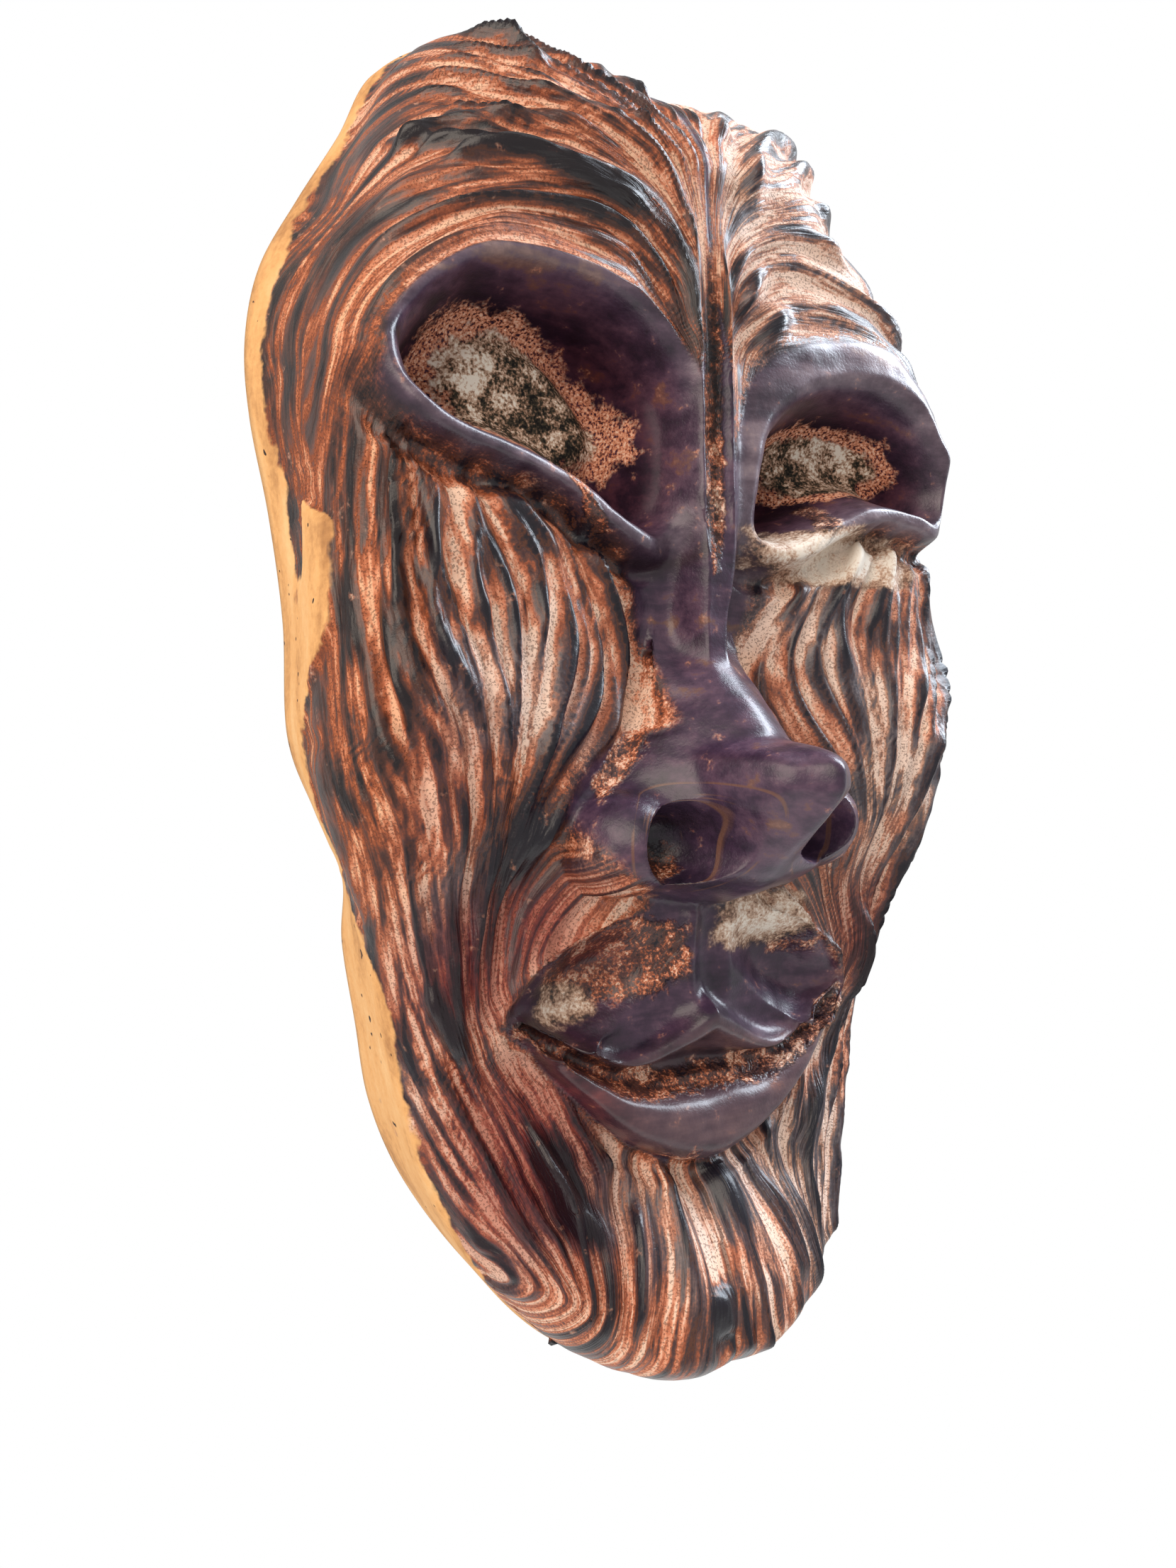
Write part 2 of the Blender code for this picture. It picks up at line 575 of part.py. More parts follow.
def back_height(x, z, edge, wall, thinnest):
    """The hollow's surface, a wall's thickness behind the face."""
    lowest = face(x, z, edge) - wall
    for radius in (0.6 * wall, wall):
        for angle in np.arange(12) * np.pi / 6:
            near = face(x + radius * np.cos(angle), z + radius * np.sin(angle), edge)
            lowest = np.minimum(lowest, near - np.sqrt(wall**2 - radius**2))
    return np.maximum(lowest, thinnest)


def carve(points, faces, drawn, outline, finest):
    """Raises the strands along the surface's own normals, down to the glaze's edge on the side wall."""
    a, b, c, d = points[faces].transpose(1, 0, 2)
    across = np.cross(c - a, d - b)
    normals = np.zeros(points.shape)
    for i in range(4):
        np.add.at(normals, faces[:, i], across)
    normals /= np.linalg.norm(normals, axis=1)[:, None]
    x, h, z, drop = drawn.T
    level = np.asarray(BARE_CLAY, float)
    bare = np.interp(z, level[:, 0], level[:, 1])
    raised = relief(x, z, drop, outline, finest) + 1
    return points + normals * (raised * smooth_step(bare - 1, bare + 2, h))[:, None]


def shell(columns, rows, ratio, side_rings, finest, wall, thinnest):
    """Points (x, h, z) and faces of the closed shell. The hollow's grid is coarser by the ratio."""
    back_edge, front_edge = edge_loops(columns, rows)
    outline = edge_loops(OUTLINE_COLUMNS, OUTLINE_ROWS)[1]
    grid = patch(front_edge, columns, rows)
    for _ in range(3):
        heights = face(grid[..., 0], grid[..., 1], outline)
        grid = even_out(grid, heights, EVENING).transpose(1, 0, 2)
    grid = grid.transpose(1, 0, 2)
    heights = face(grid[..., 0], grid[..., 1], outline)
    points = [np.stack([grid[..., 0], heights, grid[..., 1]], axis=2).reshape(-1, 3)]
    drawn = [np.insert(points[0], 3, 0.0, axis=1)]
    faces = grid_faces(columns, rows).tolist()
    ring = rim_of(columns, rows)
    top = points[0][ring]
    foot = np.insert(back_edge, 1, 0.0, axis=1)
    count = len(points[0])
    for share in np.arange(1, side_rings + 1) / side_rings:
        points.append(top + (foot - top) * share)
        drawn.append(np.stack([top[:, 0], points[-1][:, 1], top[:, 2], top[:, 1] * share], axis=1))
        below = count + np.arange(len(top))
        faces += ring_faces(ring, below).tolist()
        ring, count = below, count + len(top)

    outer = carve(np.concatenate(points), np.array(faces), np.concatenate(drawn), outline, finest)
    points = [outer]

    mouth_edge = inset(back_edge, wall)[::ratio]
    hollow_edge = inset(front_edge, wall)[::ratio]
    hollow = patch(hollow_edge, columns // ratio, rows // ratio)
    depth = back_height(hollow[..., 0], hollow[..., 1], outline, wall, thinnest)
    points.append(np.insert(mouth_edge, 1, 0.0, axis=1))
    inner = count + np.arange(len(mouth_edge))
    for i, (a, b) in enumerate(zip(inner, np.roll(inner, -1))):
        outer = np.take(ring, np.arange(ratio * (i + 1), ratio * i - 1, -1), mode="wrap")
        faces.append([a, b, *outer])
    count += len(mouth_edge)
    points.append(np.stack([hollow[..., 0], depth, hollow[..., 1]], axis=2).reshape(-1, 3))
    border = count + rim_of(columns // ratio, rows // ratio)
    faces += ring_faces(inner, border).tolist()
    faces += grid_faces(columns // ratio, rows // ratio, count)[:, ::-1].tolist()
    return np.concatenate(points), faces


def to_world(points, scale):
    """The drawing's units to metres, with the origin at the top of the rim's back face."""
    x, h, z = points.T * scale
    hang = EDGE[-1][0] * scale - WALL / 2
    return np.stack([x, -h, z - hang], axis=1) / 1000


def fired_clay():
    """Dark copper-brown glaze."""
    material = bpy.data.materials.new("glazed_clay")
    material.use_nodes = True
    shader = material.node_tree.nodes["Principled BSDF"]
    shader.inputs["Base Color"].default_value = (0.13, 0.062, 0.04, 1)
    shader.inputs["Roughness"].default_value = 0.3
    shader.inputs["Metallic"].default_value = 0.0
    return material


def thinned(mask):
    """The mask's mesh after its modifiers, with the rim's vertices put back exactly on the wall plane."""
    bpy.context.view_layer.update()
    mesh = bpy.data.meshes.new_from_object(mask.evaluated_get(bpy.context.evaluated_depsgraph_get()))
    for vertex in mesh.vertices:
        if abs(vertex.co.y) < RIM_TOLERANCE:
            vertex.co.y = 0.0
    return mesh


def main():
    for thing in list(bpy.data.objects):
        bpy.data.objects.remove(thing)
    scale = HEIGHT / DRAWN_HEIGHT
    wall, thinnest = WALL / scale, THINNEST / scale
    points, faces = shell(COLUMNS, ROWS, HOLLOW_RATIO, SIDE_RINGS, FINEST_STRAND, wall, thinnest)
    mesh = bpy.data.meshes.new("mask_form")
    mesh.from_pydata(to_world(points, scale).tolist(), [], faces)
    mesh.update()
    mask = bpy.data.objects.new("mask_shell", mesh)
    bpy.context.collection.objects.link(mask)
    split = mask.modifiers.new("triangles", "TRIANGULATE")
    split.min_vertices = 4
    thin = mask.modifiers.new("fewer_triangles", "DECIMATE")
    thin.ratio = SOLID_TRIANGLES / sum(len(face) - 2 for face in faces)
    thin.use_collapse_triangulate = True
    mask.data = thinned(mask)
    mask.modifiers.clear()
    mask.data.name = "mask_shell"
    mask.data.materials.append(fired_clay())
    mask.data.shade_smooth()


if __name__ == "__main__":
    main()
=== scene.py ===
"""The ceramic wall mask's looks: its fired-clay shell carved strand by strand, and its copper-brown glaze.

The CAD frame has +Z up, the wall as the plane Y = 0 and the face looking along -Y, in metres. The face is
drawn in its own frame: x to the right, z up from the tip of the nose, h out of the wall, in millimetres when
the mask is DRAWN_HEIGHT tall. The solid is drawn the same way, so the carved piece lies in its place.
"""

import math

import bpy
import numpy as np
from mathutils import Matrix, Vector


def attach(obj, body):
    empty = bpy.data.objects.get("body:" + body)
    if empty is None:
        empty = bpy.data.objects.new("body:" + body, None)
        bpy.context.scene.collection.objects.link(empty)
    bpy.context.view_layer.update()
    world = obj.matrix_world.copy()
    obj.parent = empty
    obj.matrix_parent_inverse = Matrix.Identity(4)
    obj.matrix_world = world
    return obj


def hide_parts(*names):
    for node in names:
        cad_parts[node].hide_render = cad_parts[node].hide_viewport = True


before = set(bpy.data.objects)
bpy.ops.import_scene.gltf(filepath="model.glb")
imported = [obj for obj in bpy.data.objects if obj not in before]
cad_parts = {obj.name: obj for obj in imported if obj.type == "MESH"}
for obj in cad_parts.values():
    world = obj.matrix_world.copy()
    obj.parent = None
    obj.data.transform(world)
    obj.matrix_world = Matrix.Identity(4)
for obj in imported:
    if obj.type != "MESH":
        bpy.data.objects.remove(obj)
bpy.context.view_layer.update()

# Real sizes, in millimetres: from chin to forehead at the back, and how thick the clay is
HEIGHT = 290.0
WALL = 8.0
THINNEST = 3.0

# The edge, from the chin up: z, half width at the back, half width where the wall meets the face
EDGE = [
    (-125, 0, 0), (-124, 14, 15), (-117, 27, 30), (-104, 39, 43), (-86, 51, 53), (-69, 58, 59),
    (-52, 61, 63), (-34, 64, 67), (-20, 64, 72), (-6, 70, 77), (10, 76, 79), (34, 77, 79),
    (56, 80, 79), (76, 84, 81), (92, 85, 79), (108, 82, 73), (124, 74, 69), (140, 65, 63),
    (156, 57, 55), (166, 41, 40), (167, 20, 20), (165, 0, 0),
]
DRAWN_HEIGHT = EDGE[-1][0] - EDGE[0][0]

# The edge's stations at the corners of the face's grid, and the stretch of the middle that has strands
# on both sides
LOW_CORNER = 2
HIGH_CORNER = 18
SPINE = (-70, 95)

# The camera: a phone's wide lens close to the mask, turned to its near side
CAMERA_PLACE = (-0.154, -0.2449, -0.161)
CAMERA_TURN = 32
CAMERA_LENS = 27.03
CAMERA_SENSOR = 36

# The studio
MASK_MIDDLE = (0, -0.04, -0.14)
FLOOR_Z = -0.75
FLOOR_RADIUS = 0.6
FLOOR_MIDDLE_Y = -0.1
AMBIENT = 0.6
SOFTBOXES = [
    ("window", (0.62, -0.16, 0.42), (0.35, 0.7), 13, (0.80, 0.89, 1)),
    ("near_fill", (-1.1, -0.6, 0.5), (1.3, 1.3), 19.5, (1, 0.87, 0.74)),
]

# Colours, from the darkest to the lightest place of each look
STRAND_COLOURS = [
    (0.0, (0.006, 0.004, 0.009)), (0.2, (0.016, 0.008, 0.013)), (0.34, (0.10, 0.032, 0.015)),
    (0.42, (0.045, 0.021, 0.024)), (0.57, (0.12, 0.045, 0.031)), (0.66, (0.30, 0.076, 0.029)),
    (0.78, (0.56, 0.19, 0.10)), (0.9, (0.75, 0.35, 0.22)), (1.0, (0.88, 0.60, 0.45)),
]
COOL_STRAND_COLOURS = [
    (0.0, (0.006, 0.005, 0.012)), (0.2, (0.016, 0.011, 0.019)), (0.34, (0.055, 0.03, 0.03)),
    (0.42, (0.04, 0.032, 0.043)), (0.6, (0.12, 0.095, 0.10)), (0.7, (0.22, 0.13, 0.10)),
    (0.82, (0.50, 0.27, 0.19)), (1.0, (0.8, 0.6, 0.5)),
]
WARM_STRAND_COLOURS = [
    (0.0, (0.010, 0.004, 0.004)), (0.3, (0.05, 0.016, 0.009)), (0.5, (0.12, 0.032, 0.014)),
    (0.66, (0.25, 0.056, 0.015)), (0.82, (0.48, 0.12, 0.036)), (0.92, (0.63, 0.22, 0.095)),
    (1.0, (0.78, 0.40, 0.22)),
]
SMOOTH_COLOURS = [
    (0.0, (0.012, 0.007, 0.017)), (0.4, (0.044, 0.022, 0.047)), (0.65, (0.092, 0.048, 0.082)),
    (0.8, (0.14, 0.065, 0.055)), (1.0, (0.24, 0.12, 0.09)),
]
WINE_COLOURS = [
    (0.0, (0.013, 0.003, 0.006)), (0.4, (0.055, 0.007, 0.011)), (0.7, (0.15, 0.018, 0.02)),
    (1.0, (0.40, 0.10, 0.07)),
]
LIP_COLOURS = [
    (0.0, (0.03, 0.018, 0.026)), (0.4, (0.075, 0.042, 0.055)), (0.7, (0.12, 0.07, 0.08)),
    (1.0, (0.27, 0.12, 0.09)),
]
# The socket's rim and the lower lid's ridge: lilac-grey glaze on the near side, a painted highlight round
# the far socket
RIM_AND_HIGHLIGHT_COLOURS = [
    (0.0, (0.04, 0.025, 0.04)), (0.4, (0.12, 0.085, 0.11)), (0.7, (0.23, 0.18, 0.21)),
    (1.0, (0.42, 0.34, 0.35)),
]
FLOOR_COLOURS = [
    (0.0, (0.015, 0.014, 0.014)), (0.3, (0.06, 0.05, 0.036)), (0.5, (0.26, 0.15, 0.10)),
    (0.7, (0.58, 0.40, 0.29)), (1.0, (0.88, 0.80, 0.70)),
]
CLAY_COLOURS = [
    (0.0, (0.22, 0.09, 0.03)), (0.35, (0.50, 0.24, 0.085)), (0.6, (0.77, 0.41, 0.155)),
    (1.0, (0.87, 0.55, 0.26)),
]
# Painted shade in the groove under the lower lid
GROOVE_SHADE_COLOUR = (0.02, 0.009, 0.011)
PIT_COLOUR = (0.06, 0.022, 0.016)
RING_COLOUR = (0.15, 0.068, 0.045)
SPECK_COLOUR = (0.03, 0.015, 0.01)
STUDIO_FLOOR_COLOUR = (0.86, 0.85, 0.83)

# Places on the smooth parts where the glaze has gone copper or pale, the pale ones partly painted light:
# centre, half sizes, strength
COPPER_SPOTS = [
    ((-0.6, 80), (2.3, 38), 0.9), ((-17, -15), (5, 4), 0.7), ((18, -10), (4, 3), 0.6),
    ((-20, -36), (16, 9), 1.0), ((30, -36), (9, 5), 0.5), ((-44, -54), (7, 9), 0.4),
    ((-7, -92), (7, 15), 0.8),
]
# Pale: the glaze's own pale patch over the near upper lip; under the far nostril and along the far lid,
# painted window light
PALE_AND_LIT_SPOTS = [((-31, -45), (8, 4.5), 1.0), ((18, -30), (15, 6.5), 1.6), ((38, 52), (26, 6), 2.0)]
WINE_SPOTS = [
    ((-52, -36), (12, 17), 1.0), ((52, -36), (10, 15), 0.7), ((-40, -74), (18, 26), 1.0),
    ((-40, -28), (13, 12), 1.0), ((-60, 0), (9, 20), 0.35), ((-26, -36), (10, 6), 0.8),
]
# Painted shade on the strands: on the cheek beside the near nose wing and in two gaps on the chin
PAINTED_SHADE_SPOTS = [((-43, -12), (8, 9), 0.2), ((-4, -108), (3.5, 6), 0.35), ((-32, -82), (3, 9), 0.25)]

# The salmon band over the cheek: its strand number and half width; the creamier end of a socket's floor; the
# glaze's drip over the clay: place, half sizes, length
SALMON_STRANDS = (31, 0.9)
CREAM_FLOOR = ((49, 84), (9, 8))
GLAZE_DRIP = ((14, 50), (3.5, 10), 7)

# How much higher the far half's strand numbers are, so that its streaks differ from the near half's
HALVES_APART = 200

# How fine the glaze's and the clay's unevenness is, as noise cells to the metre
CLOUDS = 34
RUNS = 55
STAINS = 90
VEILS = 110
MOTTLES = 260
SPECKS = 330
GRAINS = 700
SPECKLES = 1500
PITS = 2100

# The values at each point that the glaze is painted by
PAINTED_BY = [
    "crest", "tone", "cover", "cheek_number", "brow_number", "brow", "along", "floor", "cream", "lips",
    "copper", "pale", "wine", "socket", "rim", "groove", "warm", "nostril_away", "glaze_height",
]

# How finely the edge and the shell are drawn, and the narrowest strands that are carved
EDGE_SPANS = 24
OUTLINE_COLUMNS = 24
OUTLINE_ROWS = 56
COLUMNS = 212
ROWS = 360
HOLLOW_RATIO = 4
SIDE_RINGS = 10
EVENING = 0.6
FINEST_STRAND = 3.0

# Up the middle of the face: z, height of the face's plane, depth of the side wall, width of the shoulder
LEVELS = [
    (-124, 49, 38, 9), (-104, 48, 32, 11), (-86, 43, 24, 13), (-60, 43, 21, 16), (-30, 45, 22, 18),
    (8, 47, 24, 18), (40, 46, 22, 18), (72, 47, 22, 16), (90, 47, 20, 17), (104, 47, 18, 22),
    (120, 47, 15, 28), (140, 47, 11, 38), (168, 47, 8, 48),
]

# Swellings and hollows of that plane on both halves, then on the right alone: centre, half sizes, height
BOTH_SWELLINGS = [
    ((52, -62), (18, 26), -7), ((50, 142), (20, 18), -7), ((48, 14), (20, 26), 4), ((10, 22), (11, 26), -8),
    ((47, -24), (16, 12), -5),
]
RIGHT_SWELLING = ((64, 8), (15, 28), 5)
CHIN = ((0, -110), (29, 22), 9)

# Eye sockets, each round its opening from the outer corner over the top, with distances out from the middle
# of the face, and the low mound in its floor: centre, half sizes, and how much its outer end is raised
LEFT_SOCKET = [
    (70, 82), (66, 89), (59, 95), (51, 99), (39, 100.5), (27, 99.5), (18, 96), (11, 90), (7, 82), (5, 72),
    (6, 60), (11, 53), (20, 54), (34, 62), (47, 66), (60, 69), (68, 75),
]
RIGHT_SOCKET = [
    (71, 70), (69, 78), (62, 86), (53, 90), (41, 90), (28, 86), (20, 80), (16, 73), (15, 63), (15, 55),
    (22, 54), (32, 59), (42, 64), (51, 66), (61, 65), (68, 64),
]
LEFT_MOUND = ((36, 79), (25, 15), 0.32)
RIGHT_MOUND = ((45, 76), (20, 9), 0.05)
SOCKET_FLOOR = 21
MOUND_RISE = 9

# The lower lid's line outwards from the bridge, and the knob where the lids meet: centre, half sizes, height
LID_LINE = [(8, 48), (20, 51), (34, 58), (47, 62), (60, 66), (75, 72)]
KNOB = ((76, 80), (5.5, 5), 3.5)

# Up the bridge of the nose: z, height, half width on the left and on the right, drop of its sides
BRIDGE = [
    (7, 66, 14, 14, 16), (13, 56, 10, 10, 14), (20, 51, 8, 8, 13), (32, 50.5, 8, 9, 14),
    (46, 51.5, 9, 13, 13), (62, 50.5, 9, 16, 12), (84, 50, 9, 16, 11), (100, 49.5, 9, 12, 8),
    (124, 48, 8, 8, 3),
]

# Half width of the smooth skin beside the bridge: z, half width
SMOOTH_BRIDGE = [
    (-20, 12), (0, 19), (10, 13), (28, 12), (40, 16), (50, 17), (60, 7), (90, 3), (105, 0.5),
]

# The nose: where it starts and ends out of the wall, its blunt tip's half width and its reach above and
# below, its flanks and, with distances out from its middle, the dome of a wing and the bowl of a nostril
NOSE_BASE = 45
NOSE_DEPTH = 86
TIP_HALF = 17
TIP_ABOVE = 11
TIP_BELOW = 24
FLANK_HALF = 35
FLANK_RISE = 26
WING = ((24, -12), (12.5, 12.5), 18)
NOSTRIL = ((16.5, -12), (8, 6.5), 13)
RIGHT_WING_LIFT = 4

# Up the sides of the nose: z, share of the flanks' half width
NOSE_SIDES = [
    (-28, 0.7), (-18, 1), (-8, 0.96), (0, 0.82), (8, 0.64), (18, 0.46), (32, 0.34), (44, 0.28),
]

# Outwards along the lips: distance from the middle, crest of the upper lip, parting, lower lip's two edges
LIPS = [
    (0, -49.5, -59.5, -65, -80), (8, -53.5, -60, -64.5, -79), (19, -57.5, -60, -63, -73),
    (29, -54, -56, -58, -64.5), (37, -50, -51.5, -53, -56.5), (43, -47.5, -48, -48.5, -49.5),
    (48, -46, -46, -46, -46),
]

# Strands of the skin on the right half: each runs along a line of points and has its own number, which grows
# by about one for each millimetre across them. The first set sweeps round over the eye from the bridge.
BROW_STRANDS = [
    (0, [(7, 86), (12, 98), (25, 105), (42, 107), (55, 104), (66, 96), (74, 86), (77, 76), (78, 60)]),
    (8, [
        (5, 92), (11, 104), (19, 113), (35, 114), (51, 111), (64, 106), (73, 98), (79, 84), (80, 64),
        (78, 44),
    ]),
    (14, [
        (4, 94), (6, 106), (14, 116), (27, 121), (46, 120), (62, 116), (74, 106), (82, 88), (84, 66),
        (82, 44),
    ]),
    (28, [(3, 98), (4, 112), (12, 124), (25, 131), (41, 137), (54, 140), (65, 133), (76, 118)]),
    (38, [(2, 100), (4, 119), (10, 131), (21, 139), (33, 144), (46, 150), (58, 151)]),
    (54, [(1, 100), (2, 120), (5, 138), (12, 150), (24, 160), (36, 168)]),
    (62, [(0, 100), (0, 130), (0, 150), (1, 168)]),
]

# The second set runs down from the lower lid, narrows beside the mouth and spreads over jaw and chin
CHEEK_STRANDS = [
    (-6, [(86, 62), (82, 40), (82, 20), (80, 2), (74, -20), (72, -36), (66, -58), (57, -78), (44, -102)]),
    (5, [
        (78, 60), (77, 30), (76, 8), (72, -6), (66, -22), (61, -40), (55, -55), (48, -70), (41, -86),
        (33, -102),
    ]),
    (12, [
        (73, 66), (73, 50), (71, 30), (66, 12), (61, -8), (57, -26), (55, -40), (50, -54), (43, -67),
        (33, -90),
    ]),
    (19, [
        (63, 60), (60, 48), (55, 27), (52, 8), (51, -12), (51, -28), (51, -42), (47, -55), (39, -68),
        (30, -92),
    ]),
    (25, [
        (49, 55), (41, 45), (37, 34), (39, 20), (43, 6), (47, -12), (48, -28), (48, -44), (37, -62),
        (28, -82),
    ]),
    (32, [
        (23, 45), (14, 35), (13, 22), (18, 8), (28, -4), (38, -16), (44, -30), (45, -48), (34, -64),
        (26, -84),
    ]),
    (39, [(19, -76), (22, -90), (25, -104), (27, -118)]),
    (47, [(11, -79), (15, -94), (19, -108), (21, -122)]),
    (54, [(5, -80), (7, -95), (10, -122)]),
    (60, [(0, -80), (0, -100), (0, -124)]),
]

# The strands' folds from broad to fine, as how many strand numbers apart they are, the depth and the
# bluntness of a crease as shares of its strand's width and of the finest strand's, the width where creases
# stop getting deeper, and the widths over which folds fade out
FOLDS = [18, 9, 4.2, 2, 1]
CREASE_SHARE = 0.36
CREASE_BLUNTNESS = 0.3
DEEPEST_FOLD = 9.0
BROADEST_FOLDS = (26, 13)

# Gaps where strands part: start, end, half width, depth
GAPS = [
    ((-38, -73), (-27, -91), 2.4, 4), ((-60, -40), (-53, -54), 1.8, 3), ((-63, 129), (-45, 127), 1.7, 2.5),
    ((-38, 123), (-18, 119), 1.7, 2.5), ((-4, -103), (-3, -112), 3, 3),
]

# How much bare clay the side wall shows, from the chin up: z, height of the glaze's edge over the wall
BARE_CLAY = [
    (-124, 30), (-112, 30), (-100, 28), (-84, 24), (-60, 25), (-45, 26), (-30, 20), (-18, 10), (-4, 10),
    (10, 12), (22, 24), (30, 31), (50, 30), (58, 14), (66, 8), (87, 6), (120, 5), (166, 4),
]


def blend_max(a, b, softness):
    return (a + b + np.sqrt((a - b) ** 2 + softness**2)) / 2


def bump(x, z, at, radii, power=2.0):
    """1 at a point, falling smoothly to 0 over about twice the radii."""
    away = np.abs((x - at[0]) / radii[0]) ** power + np.abs((z - at[1]) / radii[1]) ** power
    return np.exp(-away)


def smooth_step(low, high, value):
    t = np.clip((value - low) / (high - low), 0, 1)
    return t * t * (3 - 2 * t)


def curve(points, closed=False, per_span=24):
    """A Catmull-Rom curve through the points."""
    points = np.asarray(points, float)
    if closed:
        ends = points[-1:], points, points[:2]
    else:
        ends = 2 * points[:1] - points[1:2], points, 2 * points[-1:] - points[-2:-1]
    p = np.concatenate(ends)
    t = np.linspace(0, 1, per_span, endpoint=False)[:, None]
    spans = []
    for a, b, c, d in zip(p, p[1:], p[2:], p[3:]):
        spans.append(
            (2 * b + (c - a) * t + (2 * a - 5 * b + 4 * c - d) * t**2 + (3 * b - 3 * c + d - a) * t**3) / 2
        )
    if not closed:
        spans.append(points[-1:])
    return np.concatenate(spans)


def along(line, shares):
    """Points of a polyline at shares of its length."""
    steps = np.linalg.norm(np.diff(line, axis=0), axis=1)
    length = np.concatenate([[0], np.cumsum(steps)])
    at = np.asarray(shares) * length[-1]
    return np.stack([np.interp(at, length, line[:, i]) for i in range(line.shape[1])], axis=1)


def inside_distance(x, z, loop):
    """Distance to a closed loop, positive inside it."""
    step = np.roll(loop, -1, axis=0) - loop
    px, pz = x.ravel(), z.ravel()
    best = np.full(px.shape, np.inf)
    crossings = np.zeros(px.shape, int)
    for (ax, az), (dx, dz) in zip(loop, step):
        t = np.clip(((px - ax) * dx + (pz - az) * dz) / (dx * dx + dz * dz + 1e-12), 0, 1)
        best = np.minimum(best, (px - ax - t * dx) ** 2 + (pz - az - t * dz) ** 2)
        level = (az > pz) != (az + dz > pz)
        if dz:
            crossings += level & (px < ax + (pz - az) * dx / dz)
    signed = np.sqrt(best) * np.where(crossings % 2, 1, -1)
    return signed.reshape(x.shape)


def face_plane(x, z, edge):
    """The rounded slab that the features stand on."""
    level = np.asarray(LEVELS, float)
    plane, wall, shoulder = (np.interp(z, level[:, 0], level[:, i]) for i in (1, 2, 3))
    t = np.clip(inside_distance(x, z, edge) / shoulder, 0, 1)
    roundness = 2 - 0.4 * smooth_step(90, 130, z)
    rise = (1 - (1 - t) ** roundness) ** (1 / roundness)
    side = np.abs(x)
    for at, half, height in BOTH_SWELLINGS:
        plane = plane + height * bump(side, z, at, half)
    at, half, height = RIGHT_SWELLING
    plane = plane + height * bump(x, z, at, half)
    at, half, height = CHIN
    plane = plane + height * bump(x, z, at, half, 4)
    return wall + (plane - wall) * rise


def socket_distance(x, z):
    """Distance to the edge of the nearer eye socket, positive inside it."""
    side = np.abs(x)
    loops = LEFT_SOCKET, RIGHT_SOCKET
    left, right = (inside_distance(side, z, curve(loop, closed=True, per_span=8)) for loop in loops)
    share = smooth_step(-3, 3, x)
    return left * (1 - share) + right * share


def below_lid(side, z):
    """1 under the lower lid's line, 0 over it."""
    line = np.asarray(LID_LINE, float)
    return smooth_step(9, -1, z - np.interp(side, line[:, 0], line[:, 1]))


def mound(x, z, shape):
    """1 on the mound in a socket's floor, falling to 0 around it."""
    (out, up), (half_out, half_up), raised = shape
    along_it = (np.abs(x) - out) + (z - up) * raised
    across = (z - up) - (np.abs(x) - out) * raised
    away = np.sqrt((along_it / half_out) ** 2 + (across / half_up) ** 2)
    return smooth_step(1.25, 0.6, away)


def sockets(x, z, h):
    """Cuts a deep bowl with a mound in its floor, raises its rim and folds the lower lid."""
    side = np.abs(x)
    inside = socket_distance(x, z)
    below = below_lid(side, z)
    away_from_bridge = smooth_step(6, 16, side)
    h = h + 2.2 * np.exp(-(((inside + 3.2) / 2.8) ** 2)) * (1 - below)
    h = h + 2.6 * np.exp(-(((inside + 8) / 5) ** 2)) * (1 - below) * smooth_step(0, 12, x)
    h = h + 4.2 * np.exp(-np.abs((inside + 3.3) / 3.5) ** 4) * below * away_from_bridge
    h = h - 4.4 * np.exp(-(((inside + 8.6) / 2) ** 2)) * below * away_from_bridge * smooth_step(82, 68, side)
    knob_at, knob_half, knob_height = KNOB
    h = h + knob_height * bump(side, z, knob_at, knob_half)
    left, right = mound(x, z, LEFT_MOUND), mound(x, z, RIGHT_MOUND)
    floor = SOCKET_FLOOR + MOUND_RISE * np.where(x < 0, left, right) + 5 * smooth_step(52, 74, side)
    floor = floor - 3 * bump(side, z, (16, 88), (14, 12))
    depth = smooth_step(-1, 10.5, inside)
    return h + (floor - h) * depth


def bridge(x, z, h):
    """The ridge between the sockets and down to the nose, a shallow strip between two thin ridges."""
    level = curve(BRIDGE)
    top, left, right, drop = (np.interp(z, level[:, 0], level[:, i]) for i in range(1, 5))
    half = np.where(x < 0, left, right)
    out = np.abs(x) / half
    ridge = top - drop * smooth_step(0.3, 1.05, out) - 20 * smooth_step(1.05, 2.2, out)
    weight = smooth_step(2, 12, z) * smooth_step(132, 104, z)
    h = h + weight * (blend_max(h, ridge, 1.5) - h)
    beside = smooth_step(44, 58, z) * smooth_step(126, 100, z)
    h = h + beside * 1.5 * np.exp(-(((x + 4.6) / 1.4) ** 2))
    h = h - beside * 1.1 * np.exp(-(((x + 0.6) / 2.2) ** 2))
    return h + beside * 1.3 * np.exp(-(((x - 3.6) / 1.3) ** 2))


